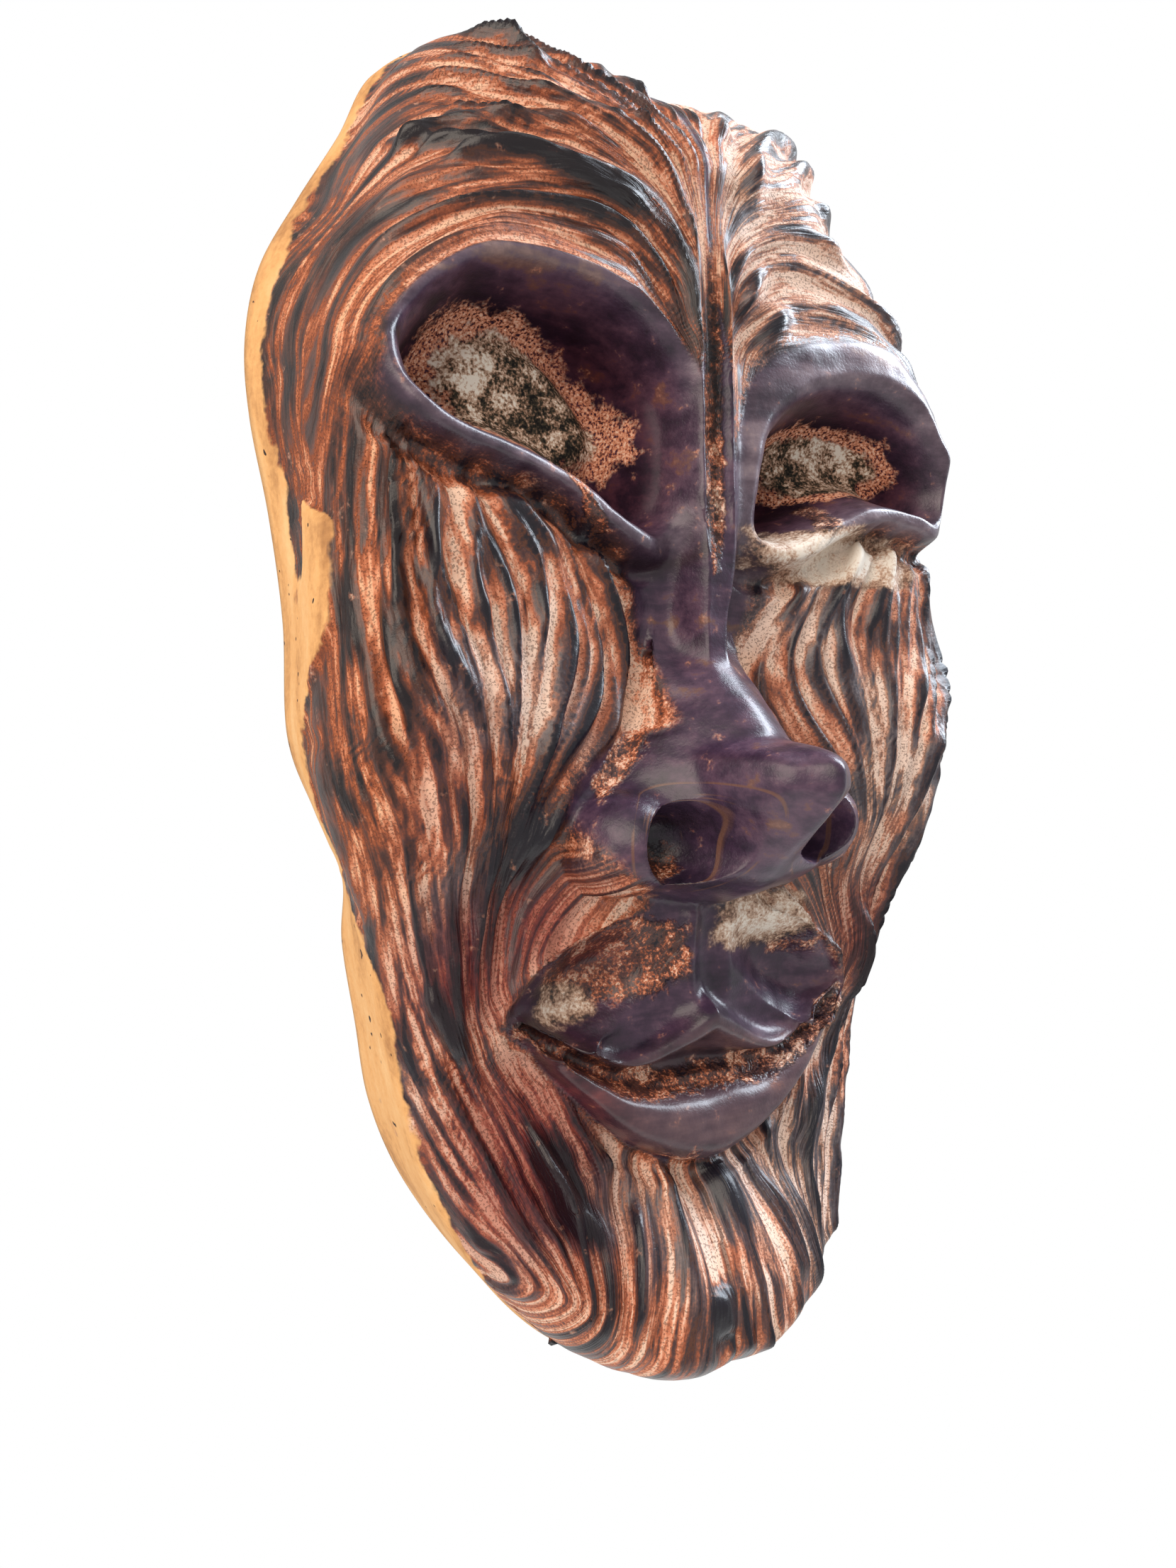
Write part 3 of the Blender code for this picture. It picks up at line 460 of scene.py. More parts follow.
def nose(x, z, h):
    """A blunt nose that juts over the lips, with flared wings round bowl-like nostrils."""
    side = np.abs(x - 1)
    up = np.where(z > 0, np.abs(z / TIP_ABOVE) ** 3.5, np.sqrt((z / TIP_BELOW) ** 2 + 0.01) - 0.1)
    tip = np.clip(1 - (side / TIP_HALF) ** 2 - up, 0, 1)
    sides = np.asarray(NOSE_SIDES, float)
    flank = 1 - (side / (FLANK_HALF * np.interp(z, sides[:, 0], sides[:, 1]))) ** 1.6
    flank = np.clip(flank - np.clip((-12 - z) / 14, 0, 2) ** 3, 0, 1)
    flanks = np.where(flank > 0, NOSE_BASE - 2 + FLANK_RISE * smooth_step(40, 2, z) * flank**0.8, 0)
    h = h + smooth_step(40, 20, z) * (blend_max(h, flanks, 2) - h)
    h = blend_max(h, np.where(tip > 0, NOSE_BASE + (NOSE_DEPTH - NOSE_BASE) * tip**0.6, 0), 2)
    (out, at_z), (half_out, half_up), rise = WING
    over = z - RIGHT_WING_LIFT * smooth_step(0, 14, x)
    wing = 1 - ((side - out) / half_out) ** 2 - ((over - at_z) / half_up) ** 2
    h = blend_max(h, np.where(wing > 0, NOSE_BASE + rise * np.sqrt(np.abs(wing)), 0), 1.2)
    (out, at_z), (half_out, half_up), depth = NOSTRIL
    bowl = 1 - ((side - out) / half_out) ** 2 - ((over - at_z) / half_up) ** 2
    lobes = 0.9 * np.cos(side * 0.62) * smooth_step(0.3, 0.8, tip)
    return h + lobes - depth * smooth_step(-0.8, 1, bowl)


def swell(distance, half):
    """A rounded band: 1 along its middle, falling to 0 at its half width."""
    return np.exp(-(np.abs(distance / half) ** 3) * 1.5)


def lip_lines(x):
    """Heights of the lips' lines at a distance from the middle, on smooth curves."""
    lines = curve(LIPS)
    return [np.interp(np.abs(x), lines[:, 0], lines[:, i]) for i in range(1, 5)]


def mouth(x, z, h):
    """A closed grin: hollows over the upper lip, parting, full lower lip with an edge under it."""
    side = np.abs(x)
    crest, parting, top, bottom = lip_lines(x)
    ends = smooth_step(47, 40, side)
    across = (side - 26) * 0.36 + (z + 41)
    hollow = np.sqrt(((side - 26) / 17) ** 2 + (across / 9.5) ** 2)
    h = h - 6 * smooth_step(1.15, 0.25, hollow)
    h = h + 1.8 * np.exp(-(((hollow - 1.2) / 0.13) ** 2)) * smooth_step(16, 30, side)
    philtrum = smooth_step(-52, -44, z) * smooth_step(-22, -28, z)
    h = h + 3 * philtrum * np.exp(-(((x + 4) / 3.2) ** 2)) + 1.2 * philtrum * np.exp(-(((x - 7) / 3) ** 2))
    thick = 1.2 + 0.34 * (crest - parting)
    h = h + (3 + 0.45 * (crest - parting)) * ends * swell(z - crest, thick + 1)
    middle, half = (top + bottom) / 2, (top - bottom) / 2
    lip = np.clip(1 - np.abs((z - middle) / (half + 1.2)) ** 3.2, 0, 1) ** 0.8
    h = h + (4 + 0.45 * half) * ends * lip
    h = h - 3.0 * ends * swell(z - parting, 0.7 + 0.22 * (parting - top))
    return h - 2.4 * ends * swell(z - bottom + 3.2, 2.6) * smooth_step(34, 24, side)


def face(x, z, edge):
    h = face_plane(x, z, edge)
    h = sockets(x, z, h)
    h = bridge(x, z, h)
    h = nose(x, z, h)
    return mouth(x, z, h)


def unrolled(x, z, drop, outline):
    """Where a point would lie if the shoulder and the side wall were pressed flat around the face."""
    levels = np.asarray(LEVELS, float)
    wall, shoulder = np.interp(z, levels[:, 0], levels[:, 2]), np.interp(z, levels[:, 0], levels[:, 3])
    t = np.clip(inside_distance(x, z, outline) / shoulder, 0, 1)
    extra = 0.6 * (48 - wall) * (1 - t) ** 2 + drop
    out_z = z - np.clip(z, *SPINE)
    reach = np.hypot(x, out_z) + 1e-6
    return x + extra * x / reach, z + extra * out_z / reach


def strand_flow(strands, outline):
    """A smooth field that keeps each strand's number along its line: a thin-plate spline."""
    places, numbers = [], []
    for number, line in strands:
        line = curve(line, per_span=3)
        places.append(line)
        numbers.append(np.full(len(line), float(number)))
    places, numbers = np.concatenate(places), np.concatenate(numbers)
    at = np.stack(unrolled(places[:, 0], places[:, 1], 0.0, outline), axis=1)
    apart = ((at[:, None] - at[None]) ** 2).sum(axis=2)
    kernel = apart * np.log(apart + 1e-9) / 2 + np.eye(len(at)) * 20
    flat = np.concatenate([np.ones((len(at), 1)), at], axis=1)
    system = np.block([[kernel, flat], [flat.T, np.zeros((3, 3))]])
    return at, np.linalg.solve(system, np.concatenate([numbers, np.zeros(3)]))


def flow_at(flow, x, z):
    """The strand number at unrolled points, and how fast it changes across the strands."""
    at, weights = flow
    value = weights[-3] + weights[-2] * x + weights[-1] * z
    slope_x = np.full(x.shape, weights[-2])
    slope_z = np.full(x.shape, weights[-1])
    for (ax, az), weight in zip(at, weights):
        dx, dz = x - ax, z - az
        apart = dx * dx + dz * dz + 1e-9
        log = np.log(apart)
        value += weight * apart * log / 2
        slope_x += weight * dx * (log + 1)
        slope_z += weight * dz * (log + 1)
    return value, np.hypot(slope_x, slope_z)


def noise(u, v, seed):
    """Smooth random values between -1 and 1."""
    iu, iv = np.floor(u).astype(np.int64), np.floor(v).astype(np.int64)
    fu, fv = smooth_step(0, 1, u - iu), smooth_step(0, 1, v - iv)

    def corner(a, b):
        mixed = (a * 73856093) ^ (b * 19349663) ^ (seed * 83492791)
        mixed = ((mixed ^ (mixed >> 13)) * 1274126177) & 0xFFFFFFFF
        return (mixed ^ (mixed >> 16)) % 65536 / 32767.5 - 1

    low = corner(iu, iv) * (1 - fu) + corner(iu + 1, iv) * fu
    high = corner(iu, iv + 1) * (1 - fu) + corner(iu + 1, iv + 1) * fu
    return low * (1 - fv) + high * fv


def strands_relief(number, slope, along_them, seed, finest):
    """Height of strands whose creases come and go, how high up a strand each point is, and its tone."""
    relief, crest, tone, total = (np.full(number.shape, 1e-6) for _ in range(4))
    for step, spacing in enumerate(FOLDS):
        width = spacing / np.maximum(slope, 0.05)
        wander = 0.45 * noise(number / (1.7 * spacing), along_them + 7 * step, seed + step)
        phase = number / spacing + wander
        away = np.sin(np.pi * phase) ** 2
        blunt = np.minimum(np.pi * CREASE_BLUNTNESS * finest / width, 1) ** 2
        lowest = (blunt / (1 + blunt)) ** 0.3
        crease = (1 - ((away + blunt) / (1 + blunt)) ** 0.3) / (1 - lowest)
        coming = noise(np.round(phase) * 5.37, along_them * 1.6, seed + 20 + step)
        coming = 0.25 + 0.75 * smooth_step(-0.5, 0.4, coming)
        depth = CREASE_SHARE * np.minimum(width, DEEPEST_FOLD) * smooth_step(*BROADEST_FOLDS, width)
        relief += depth * smooth_step(finest * 0.7, finest * 1.3, width) * (0.25 - crease * coming)
        share = depth * np.minimum(1, 7 / width)
        crest += share * (1 - coming * (1 - away**0.3))
        tone += share * noise(phase * 0.9 + 0.5, along_them * 0.6, seed + 60 + step)
        total += share
    return relief, crest / total, tone / total


def gap_depth(x, z):
    """Depth of the lens-shaped gaps between strands."""
    depth = np.zeros(x.shape)
    for start, end, half, deep in GAPS:
        (ax, az), (dx, dz) = start, np.subtract(end, start)
        t = ((x - ax) * dx + (z - az) * dz) / (dx * dx + dz * dz)
        across = np.hypot(x - ax - t * dx, z - az - t * dz)
        depth += deep * np.exp(-((across / half) ** 2) - (2 * t - 1) ** 4)
    return depth


def strand_cover(x, z):
    """1 where the skin is in strands, 0 on the smooth rims, nose and lips."""
    side = np.abs(x)
    below = below_lid(side, z)
    rim = 7.5 * below + (1 - below) * (4 + 9 * smooth_step(0, 12, x))
    cover = smooth_step(-rim + 2.5, -rim - 3.5, socket_distance(x, z))
    cover = cover * smooth_step(0.95, 1.2, np.hypot(side / 34, (z + 6) / 19))
    line = np.asarray(SMOOTH_BRIDGE, float)
    bridge_half = np.interp(z, line[:, 0], line[:, 1])
    chin = smooth_step(-60, -70, z)
    cover = cover * np.maximum(smooth_step(bridge_half * 0.8, bridge_half * 1.3 + 0.5, side), chin)
    bottom = lip_lines(x)[3]
    lips = smooth_step(1.05, 0.92, np.hypot(side / 50, (z + 58) / 34))
    lips = lips * smooth_step(bottom - 3, bottom - 1, z)
    return cover * (1 - lips)


def strand_measure(x, z, drop, over_brow, outline):
    """How much broader the finest carved strands are than elsewhere, and how much taller all of them are."""
    far_brow = over_brow * smooth_step(0, 12, x)
    at_edge = np.maximum(smooth_step(10, 1, inside_distance(x, z, outline)), smooth_step(0, 1, drop))
    broader = 1 + 1.8 * far_brow + 2.4 * at_edge + 1.2 * bump(x, z, (0, -100), (24, 22), 4)
    return broader, (1 + 0.25 * far_brow) * (1 - 0.75 * at_edge)


def edge_loops(columns, rows):
    """The back's edge and the face's edge as matching loops, counterclockwise seen from the front."""
    z, back, front = np.asarray(EDGE, float).T
    low, high = LOW_CORNER * EDGE_SPANS, HIGH_CORNER * EDGE_SPANS
    loops = []
    for half in (back, front):
        right = np.stack([half, z], axis=1)
        smooth = curve(np.concatenate([right, right[1:-1][::-1] * (-1, 1)]), True, EDGE_SPANS)
        whole = len(smooth)
        sections = [
            (-low, low, columns),
            (low, high, rows),
            (high, whole - high, columns),
            (whole - high, whole - low, rows),
        ]
        parts = []
        for start, stop, count in sections:
            line = smooth[np.arange(start, stop + 1) % whole]
            parts.append(along(line, np.linspace(0, 1, count, endpoint=False)))
        loops.append(np.concatenate(parts))
    return loops


def inset(loop, width):
    """The loop moved inwards by a width."""
    ahead = np.roll(loop, -1, axis=0) - np.roll(loop, 1, axis=0)
    ahead /= np.linalg.norm(ahead, axis=1)[:, None]
    return loop + width * np.stack([-ahead[:, 1], ahead[:, 0]], axis=1)


def patch(loop, columns, rows):
    """A grid of points that fills a loop, as a Coons patch on its four sides."""
    bottom = loop[: columns + 1]
    right = loop[columns : columns + rows + 1]
    top = loop[columns + rows : 2 * columns + rows + 1][::-1]
    left = np.concatenate([loop[2 * columns + rows :], loop[:1]])[::-1]
    p = np.linspace(0, 1, columns + 1)[None, :, None]
    q = np.linspace(0, 1, rows + 1)[:, None, None]
    corners = (1 - q) * ((1 - p) * bottom[0] + p * bottom[-1]) + q * ((1 - p) * top[0] + p * top[-1])
    return (1 - q) * bottom + q * top + (1 - p) * left[:, None] + p * right[:, None] - corners


def rim_of(columns, rows):
    """Indices of a grid's border, in a loop's order."""
    index = np.arange((rows + 1) * (columns + 1)).reshape(rows + 1, columns + 1)
    return np.concatenate([index[0, :-1], index[:-1, -1], index[-1, :0:-1], index[:0:-1, 0]])


def even_out(grid, heights, strength):
    """Slides the inner points of each row along it, so that steep places get their share of them."""
    steps = np.linalg.norm(np.diff(np.dstack([grid, heights]), axis=1), axis=2)
    for _ in range(3):
        padded = np.concatenate([steps[:1], steps, steps[-1:]])
        steps = (padded[:-2] + 2 * padded[1:-1] + padded[2:]) / 4
    count = steps.shape[1]
    even = np.linspace(0, 1, count + 1)
    moved = grid.copy()
    for i in range(1, len(grid) - 1):
        share = np.concatenate([[0], np.cumsum(steps[i])]) / steps[i].sum()
        share = strength * share + (1 - strength) * even
        moved[i] = np.stack([np.interp(even, share, grid[i, :, k]) for k in (0, 1)], axis=1)
    return moved


def grid_faces(columns, rows, first=0):
    index = first + np.arange((rows + 1) * (columns + 1)).reshape(rows + 1, columns + 1)
    corners = [index[:-1, :-1], index[:-1, 1:], index[1:, 1:], index[1:, :-1]]
    return np.stack(corners, axis=2).reshape(-1, 4)


def ring_faces(outer, inner):
    """Quads between two matching loops of vertices."""
    return np.stack([outer, inner, np.roll(inner, -1), np.roll(outer, -1)], axis=1)


def back_height(x, z, edge, wall, thinnest):
    """The hollow's surface, a wall's thickness behind the face."""
    lowest = face(x, z, edge) - wall
    for radius in (0.6 * wall, wall):
        for angle in np.arange(12) * np.pi / 6:
            near = face(x + radius * np.cos(angle), z + radius * np.sin(angle), edge)
            lowest = np.minimum(lowest, near - np.sqrt(wall**2 - radius**2))
    return np.maximum(lowest, thinnest)


def unit(vectors):
    return vectors / np.maximum(np.linalg.norm(vectors, axis=1), 1e-9)[:, None]


def point_normals(points, faces):
    """Each point's normal, as the sum of its quads' normals."""
    a, b, c, d = points[faces].transpose(1, 0, 2)
    across = np.cross(c - a, d - b)
    normals = np.zeros(points.shape)
    for i in range(4):
        np.add.at(normals, faces[:, i], across)
    return unit(normals)


def hand_marks(x, z):
    """The unevenness that fingers and a wet brush leave on the smooth parts."""
    wide = noise(x / 9.0, z / 9.0, 5) * 0.35
    narrow = noise(x / 3.4 + 20, z / 3.4, 6) * 0.12
    return wide + narrow


def spots(x, z, places):
    """The strongest of some soft oval places at each point."""
    value = np.zeros(x.shape)
    for at, half, strength in places:
        value = np.maximum(value, strength * bump(x, z, at, half, 3))
    return value


def looks(drawn, outline):
    """Values that the glaze is painted by, at each drawn point (x, h, z, drop)."""
    x, h, z, drop = drawn.T
    side = np.abs(x)
    ux, uz = unrolled(side, z, drop, outline)
    along_them = uz / 26 + ux / 34
    over_brow = smooth_step(60, 78, uz)
    broader, taller = strand_measure(x, z, drop, over_brow, outline)
    seed = np.where(x > 0, 11, 47)
    half_number = np.where(x > 0, HALVES_APART, 0)
    relief, crest, tone, numbers = np.zeros(len(x)), np.zeros(len(x)), np.zeros(len(x)), []
    for weight, strands in ((over_brow, BROW_STRANDS), (1 - over_brow, CHEEK_STRANDS)):
        number, slope = flow_at(strand_flow(strands, outline), ux, uz)
        made = strands_relief(number, slope, along_them, seed, FINEST_STRAND * broader)
        relief, crest, tone = (total + weight * part for total, part in zip((relief, crest, tone), made))
        numbers.append(number + half_number)
    cover = strand_cover(x, z)
    gaps = gap_depth(x, z)
    relief = relief * taller * cover - gaps
    # Painted shade: the strands are darkened in the gaps and at the shade spots
    crest = crest - 0.5 * np.clip(gaps / 2.5, 0, 1) - spots(x, z, PAINTED_SHADE_SPOTS)

    inside = socket_distance(x, z)
    floor = np.where(x < 0, mound(x, z, LEFT_MOUND), mound(x, z, RIGHT_MOUND)) * smooth_step(2, 7, inside)
    crest_line, parting, top, bottom = lip_lines(x)
    lips = smooth_step(bottom - 2, bottom + 1, z) * smooth_step(crest_line + 4, crest_line, z)
    lips = lips * smooth_step(46, 42, side)
    between = np.exp(-(((z - (parting + top) / 2) / 2.6) ** 2)) * lips
    middle, half_band = SALMON_STRANDS
    band = np.exp(-(((numbers[1] - half_number - middle) / half_band) ** 2)) * (1 - over_brow)
    copper = np.maximum(spots(x, z, COPPER_SPOTS), 0.8 * between)
    copper = np.maximum(copper, 0.8 * band * smooth_step(-8, 4, z))
    wine = np.maximum(spots(x, z, WINE_SPOTS), 0.8 * smooth_step(0, 6, inside) * (1 - floor))
    below = below_lid(side, z)
    far = smooth_step(0, 12, x)
    rim = np.exp(-(((inside + 2.8) / 2.8) ** 2)) * (1 - 0.5 * (1 - below))
    # Round the far socket the band is widened into a painted highlight of the window light
    rim = rim + far * np.exp(-(((inside + 6) / 5) ** 2))
    # Painted shade: the groove under the lower lid, to be coloured near black
    groove = np.exp(-(((inside + 7.5) / 1.5) ** 2)) * below * (1 - 0.7 * far)
    level = np.asarray(BARE_CLAY, float)
    glaze_height = h - np.interp(z, level[:, 0], level[:, 1])
    at, half, height = GLAZE_DRIP
    drip = height * bump(h, z, at, half) - 2
    # Warmer brown along the near edge and over the near brow; below zero on the far half, most over the far
    # brow, for painted cool window light
    warm = np.maximum(smooth_step(-58, -74, x), 0.55 * over_brow * (1 - far))
    out, at_z = NOSTRIL[0]
    lift = RIGHT_WING_LIFT * smooth_step(0, 14, x)
    return {
        "relief": relief,
        "crest": crest,
        "tone": tone,
        "cover": cover,
        "cheek_number": numbers[1],
        "brow_number": numbers[0],
        "brow": over_brow,
        "along": along_them,
        "floor": floor,
        "cream": bump(side, z, *CREAM_FLOOR),
        "lips": lips,
        "copper": copper,
        "pale": spots(x, z, PALE_AND_LIT_SPOTS),
        "wine": np.clip(wine, 0, 1),
        "socket": smooth_step(0, 6, inside),
        "rim": np.clip(rim, 0, 1),
        "groove": groove,
        "warm": warm - (0.3 + 0.4 * over_brow) * far,
        "nostril_away": np.hypot(side - out, z - lift - at_z),
        "glaze_height": np.where(x < 0, np.maximum(glaze_height, drip), glaze_height),
    }


def carved_shell(wall, thinnest):
    """Points (x, h, z), faces and painting values of the closed, carved shell."""
    back_edge, front_edge = edge_loops(COLUMNS, ROWS)
    outline = edge_loops(OUTLINE_COLUMNS, OUTLINE_ROWS)[1]
    grid = patch(front_edge, COLUMNS, ROWS)
    for _ in range(3):
        heights = face(grid[..., 0], grid[..., 1], outline)
        grid = even_out(grid, heights, EVENING).transpose(1, 0, 2)
    grid = grid.transpose(1, 0, 2)
    heights = face(grid[..., 0], grid[..., 1], outline)
    points = [np.stack([grid[..., 0], heights, grid[..., 1]], axis=2).reshape(-1, 3)]
    drawn = [np.insert(points[0], 3, 0.0, axis=1)]
    faces = grid_faces(COLUMNS, ROWS).tolist()
    ring = rim_of(COLUMNS, ROWS)
    top = points[0][ring]
    foot = np.insert(back_edge, 1, 0.0, axis=1)
    count = len(points[0])
    for share in np.arange(1, SIDE_RINGS + 1) / SIDE_RINGS:
        points.append(top + (foot - top) * share)
        drawn.append(np.stack([top[:, 0], points[-1][:, 1], top[:, 2], top[:, 1] * share], axis=1))
        below = count + np.arange(len(top))
        faces += ring_faces(ring, below).tolist()
        ring, count = below, count + len(top)

    outer = np.concatenate(points)
    values = looks(np.concatenate(drawn), outline)
    glazed = smooth_step(-1, 2, values["glaze_height"])
    raised = values["relief"] + 1 + hand_marks(outer[:, 0], outer[:, 2]) * (1 - values["cover"])
    outer = outer + point_normals(outer, np.array(faces)) * (raised * glazed)[:, None]
    points = [outer]

    mouth_edge = inset(back_edge, wall)[::HOLLOW_RATIO]
    hollow_edge = inset(front_edge, wall)[::HOLLOW_RATIO]
    across, up = COLUMNS // HOLLOW_RATIO, ROWS // HOLLOW_RATIO
    hollow = patch(hollow_edge, across, up)
    depth = back_height(hollow[..., 0], hollow[..., 1], outline, wall, thinnest)
    points.append(np.insert(mouth_edge, 1, 0.0, axis=1))
    inner = count + np.arange(len(mouth_edge))
    for i, (a, b) in enumerate(zip(inner, np.roll(inner, -1))):
        span = np.arange(HOLLOW_RATIO * (i + 1), HOLLOW_RATIO * i - 1, -1)
        faces.append([a, b, *np.take(ring, span, mode="wrap")])
    count += len(mouth_edge)
    points.append(np.stack([hollow[..., 0], depth, hollow[..., 1]], axis=2).reshape(-1, 3))
    faces += ring_faces(inner, count + rim_of(across, up)).tolist()
    faces += grid_faces(across, up, count)[:, ::-1].tolist()
    points = np.concatenate(points)
    behind = len(points) - len(outer)
    values["glaze_height"] = np.concatenate([values["glaze_height"], np.full(behind, -50.0)])
    for name, value in values.items():
        if len(value) < len(points):
            values[name] = np.concatenate([value, np.zeros(behind)])
    return points, faces, values


def to_world(points, scale):
    """The drawing's units to metres, with the origin at the top of the rim's back face."""
    x, h, z = points.T * scale
    hang = EDGE[-1][0] * scale - WALL / 2
    return np.stack([x, -h, z - hang], axis=1) / 1000


def mask_piece(material):
    scale = HEIGHT / DRAWN_HEIGHT
    points, faces, values = carved_shell(WALL / scale, THINNEST / scale)
    mesh = bpy.data.meshes.new("carved_mask")
    mesh.from_pydata(to_world(points, scale).tolist(), [], faces)
    mesh.update()
    for name in PAINTED_BY:
        layer = mesh.attributes.new(name, "FLOAT", "POINT")
        layer.data.foreach_set("value", values[name].astype(np.float32))
    mesh.materials.append(material)
    mesh.shade_smooth()
    piece = bpy.data.objects.new("carved_mask", mesh)
    bpy.context.collection.objects.link(piece)
    return piece


class Graph:
    """Builds a material's nodes: each call makes one node and gives its output socket."""

    def __init__(self, name):
        self.material = bpy.data.materials.new(name)
        self.material.use_nodes = True
        self.tree = self.material.node_tree
        self.tree.nodes.clear()

    def node(self, kind, inputs, **settings):
        made = self.tree.nodes.new(kind)
        for name, value in settings.items():
            setattr(made, name, value)
        for name, value in inputs.items():
            if isinstance(value, bpy.types.NodeSocket):
                self.tree.links.new(value, made.inputs[name])
            else:
                made.inputs[name].default_value = value
        return made

    def math(self, operation, a, b=0.0, clamp=False):
        return self.node("ShaderNodeMath", {0: a, 1: b}, operation=operation, use_clamp=clamp).outputs[0]

    def add(self, *terms):
        total = terms[0]
        for term in terms[1:]:
            total = self.math("ADD", total, term)
        return total

    def times(self, a, b):
        return self.math("MULTIPLY", a, b)

    def step(self, value, low, high):
        """0 below low and 1 above high, smoothly."""
        inputs = {"Value": value, "From Min": low, "From Max": high}
        return self.node("ShaderNodeMapRange", inputs, interpolation_type="SMOOTHSTEP").outputs[0]

    def value(self, name):
        return self.node("ShaderNodeAttribute", {}, attribute_name=name).outputs["Fac"]

    def vector(self, x, y, z):
        return self.node("ShaderNodeCombineXYZ", {0: x, 1: y, 2: z}).outputs[0]

    def noise(self, at, scale, detail, roughness):
        inputs = {"Vector": at, "Scale": scale, "Detail": detail, "Roughness": roughness}
        return self.node("ShaderNodeTexNoise", inputs).outputs["Fac"]

    def ramp(self, value, stops):
        made = self.node("ShaderNodeValToRGB", {"Fac": value})
        elements = made.color_ramp.elements
        while len(elements) < len(stops):
            elements.new(0.5)
        for element, (place, colour) in zip(elements, stops):
            element.position = place
            element.color = (*colour, 1)
        return made.outputs["Color"]

    def mix(self, share, a, b):
        made = self.tree.nodes.new("ShaderNodeMix")
        made.data_type = "RGBA"
        for socket, value in ((made.inputs["Factor"], share), (made.inputs[6], a), (made.inputs[7], b)):
            if isinstance(value, bpy.types.NodeSocket):
                self.tree.links.new(value, socket)
            else:
                socket.default_value = value if isinstance(value, float) else (*value, 1)
        return made.outputs[2]


def streaks(graph, across, spacing, seed):
    """Lines that run with the strands, in both sets of them."""
    made = []
    along = graph.times(graph.value("along"), spacing)
    for name in ("cheek_number", "brow_number"):
        at = graph.vector(graph.times(graph.value(name), 1 / across), along, seed)
        made.append(graph.noise(at, 1.0, 2.0, 0.5))
    return graph.add(made[0], graph.times(graph.value("brow"), graph.math("SUBTRACT", made[1], made[0])))


def about_half(graph, value, strength):
    """A noise's swing around its middle."""
    return graph.times(graph.math("SUBTRACT", value, 0.5), strength)


def stretched(graph, place, by):
    """Places multiplied along each axis, so that a noise gets longer where the factor is small."""
    return graph.node("ShaderNodeVectorMath", {0: place, 1: by}, operation="MULTIPLY").outputs[0]


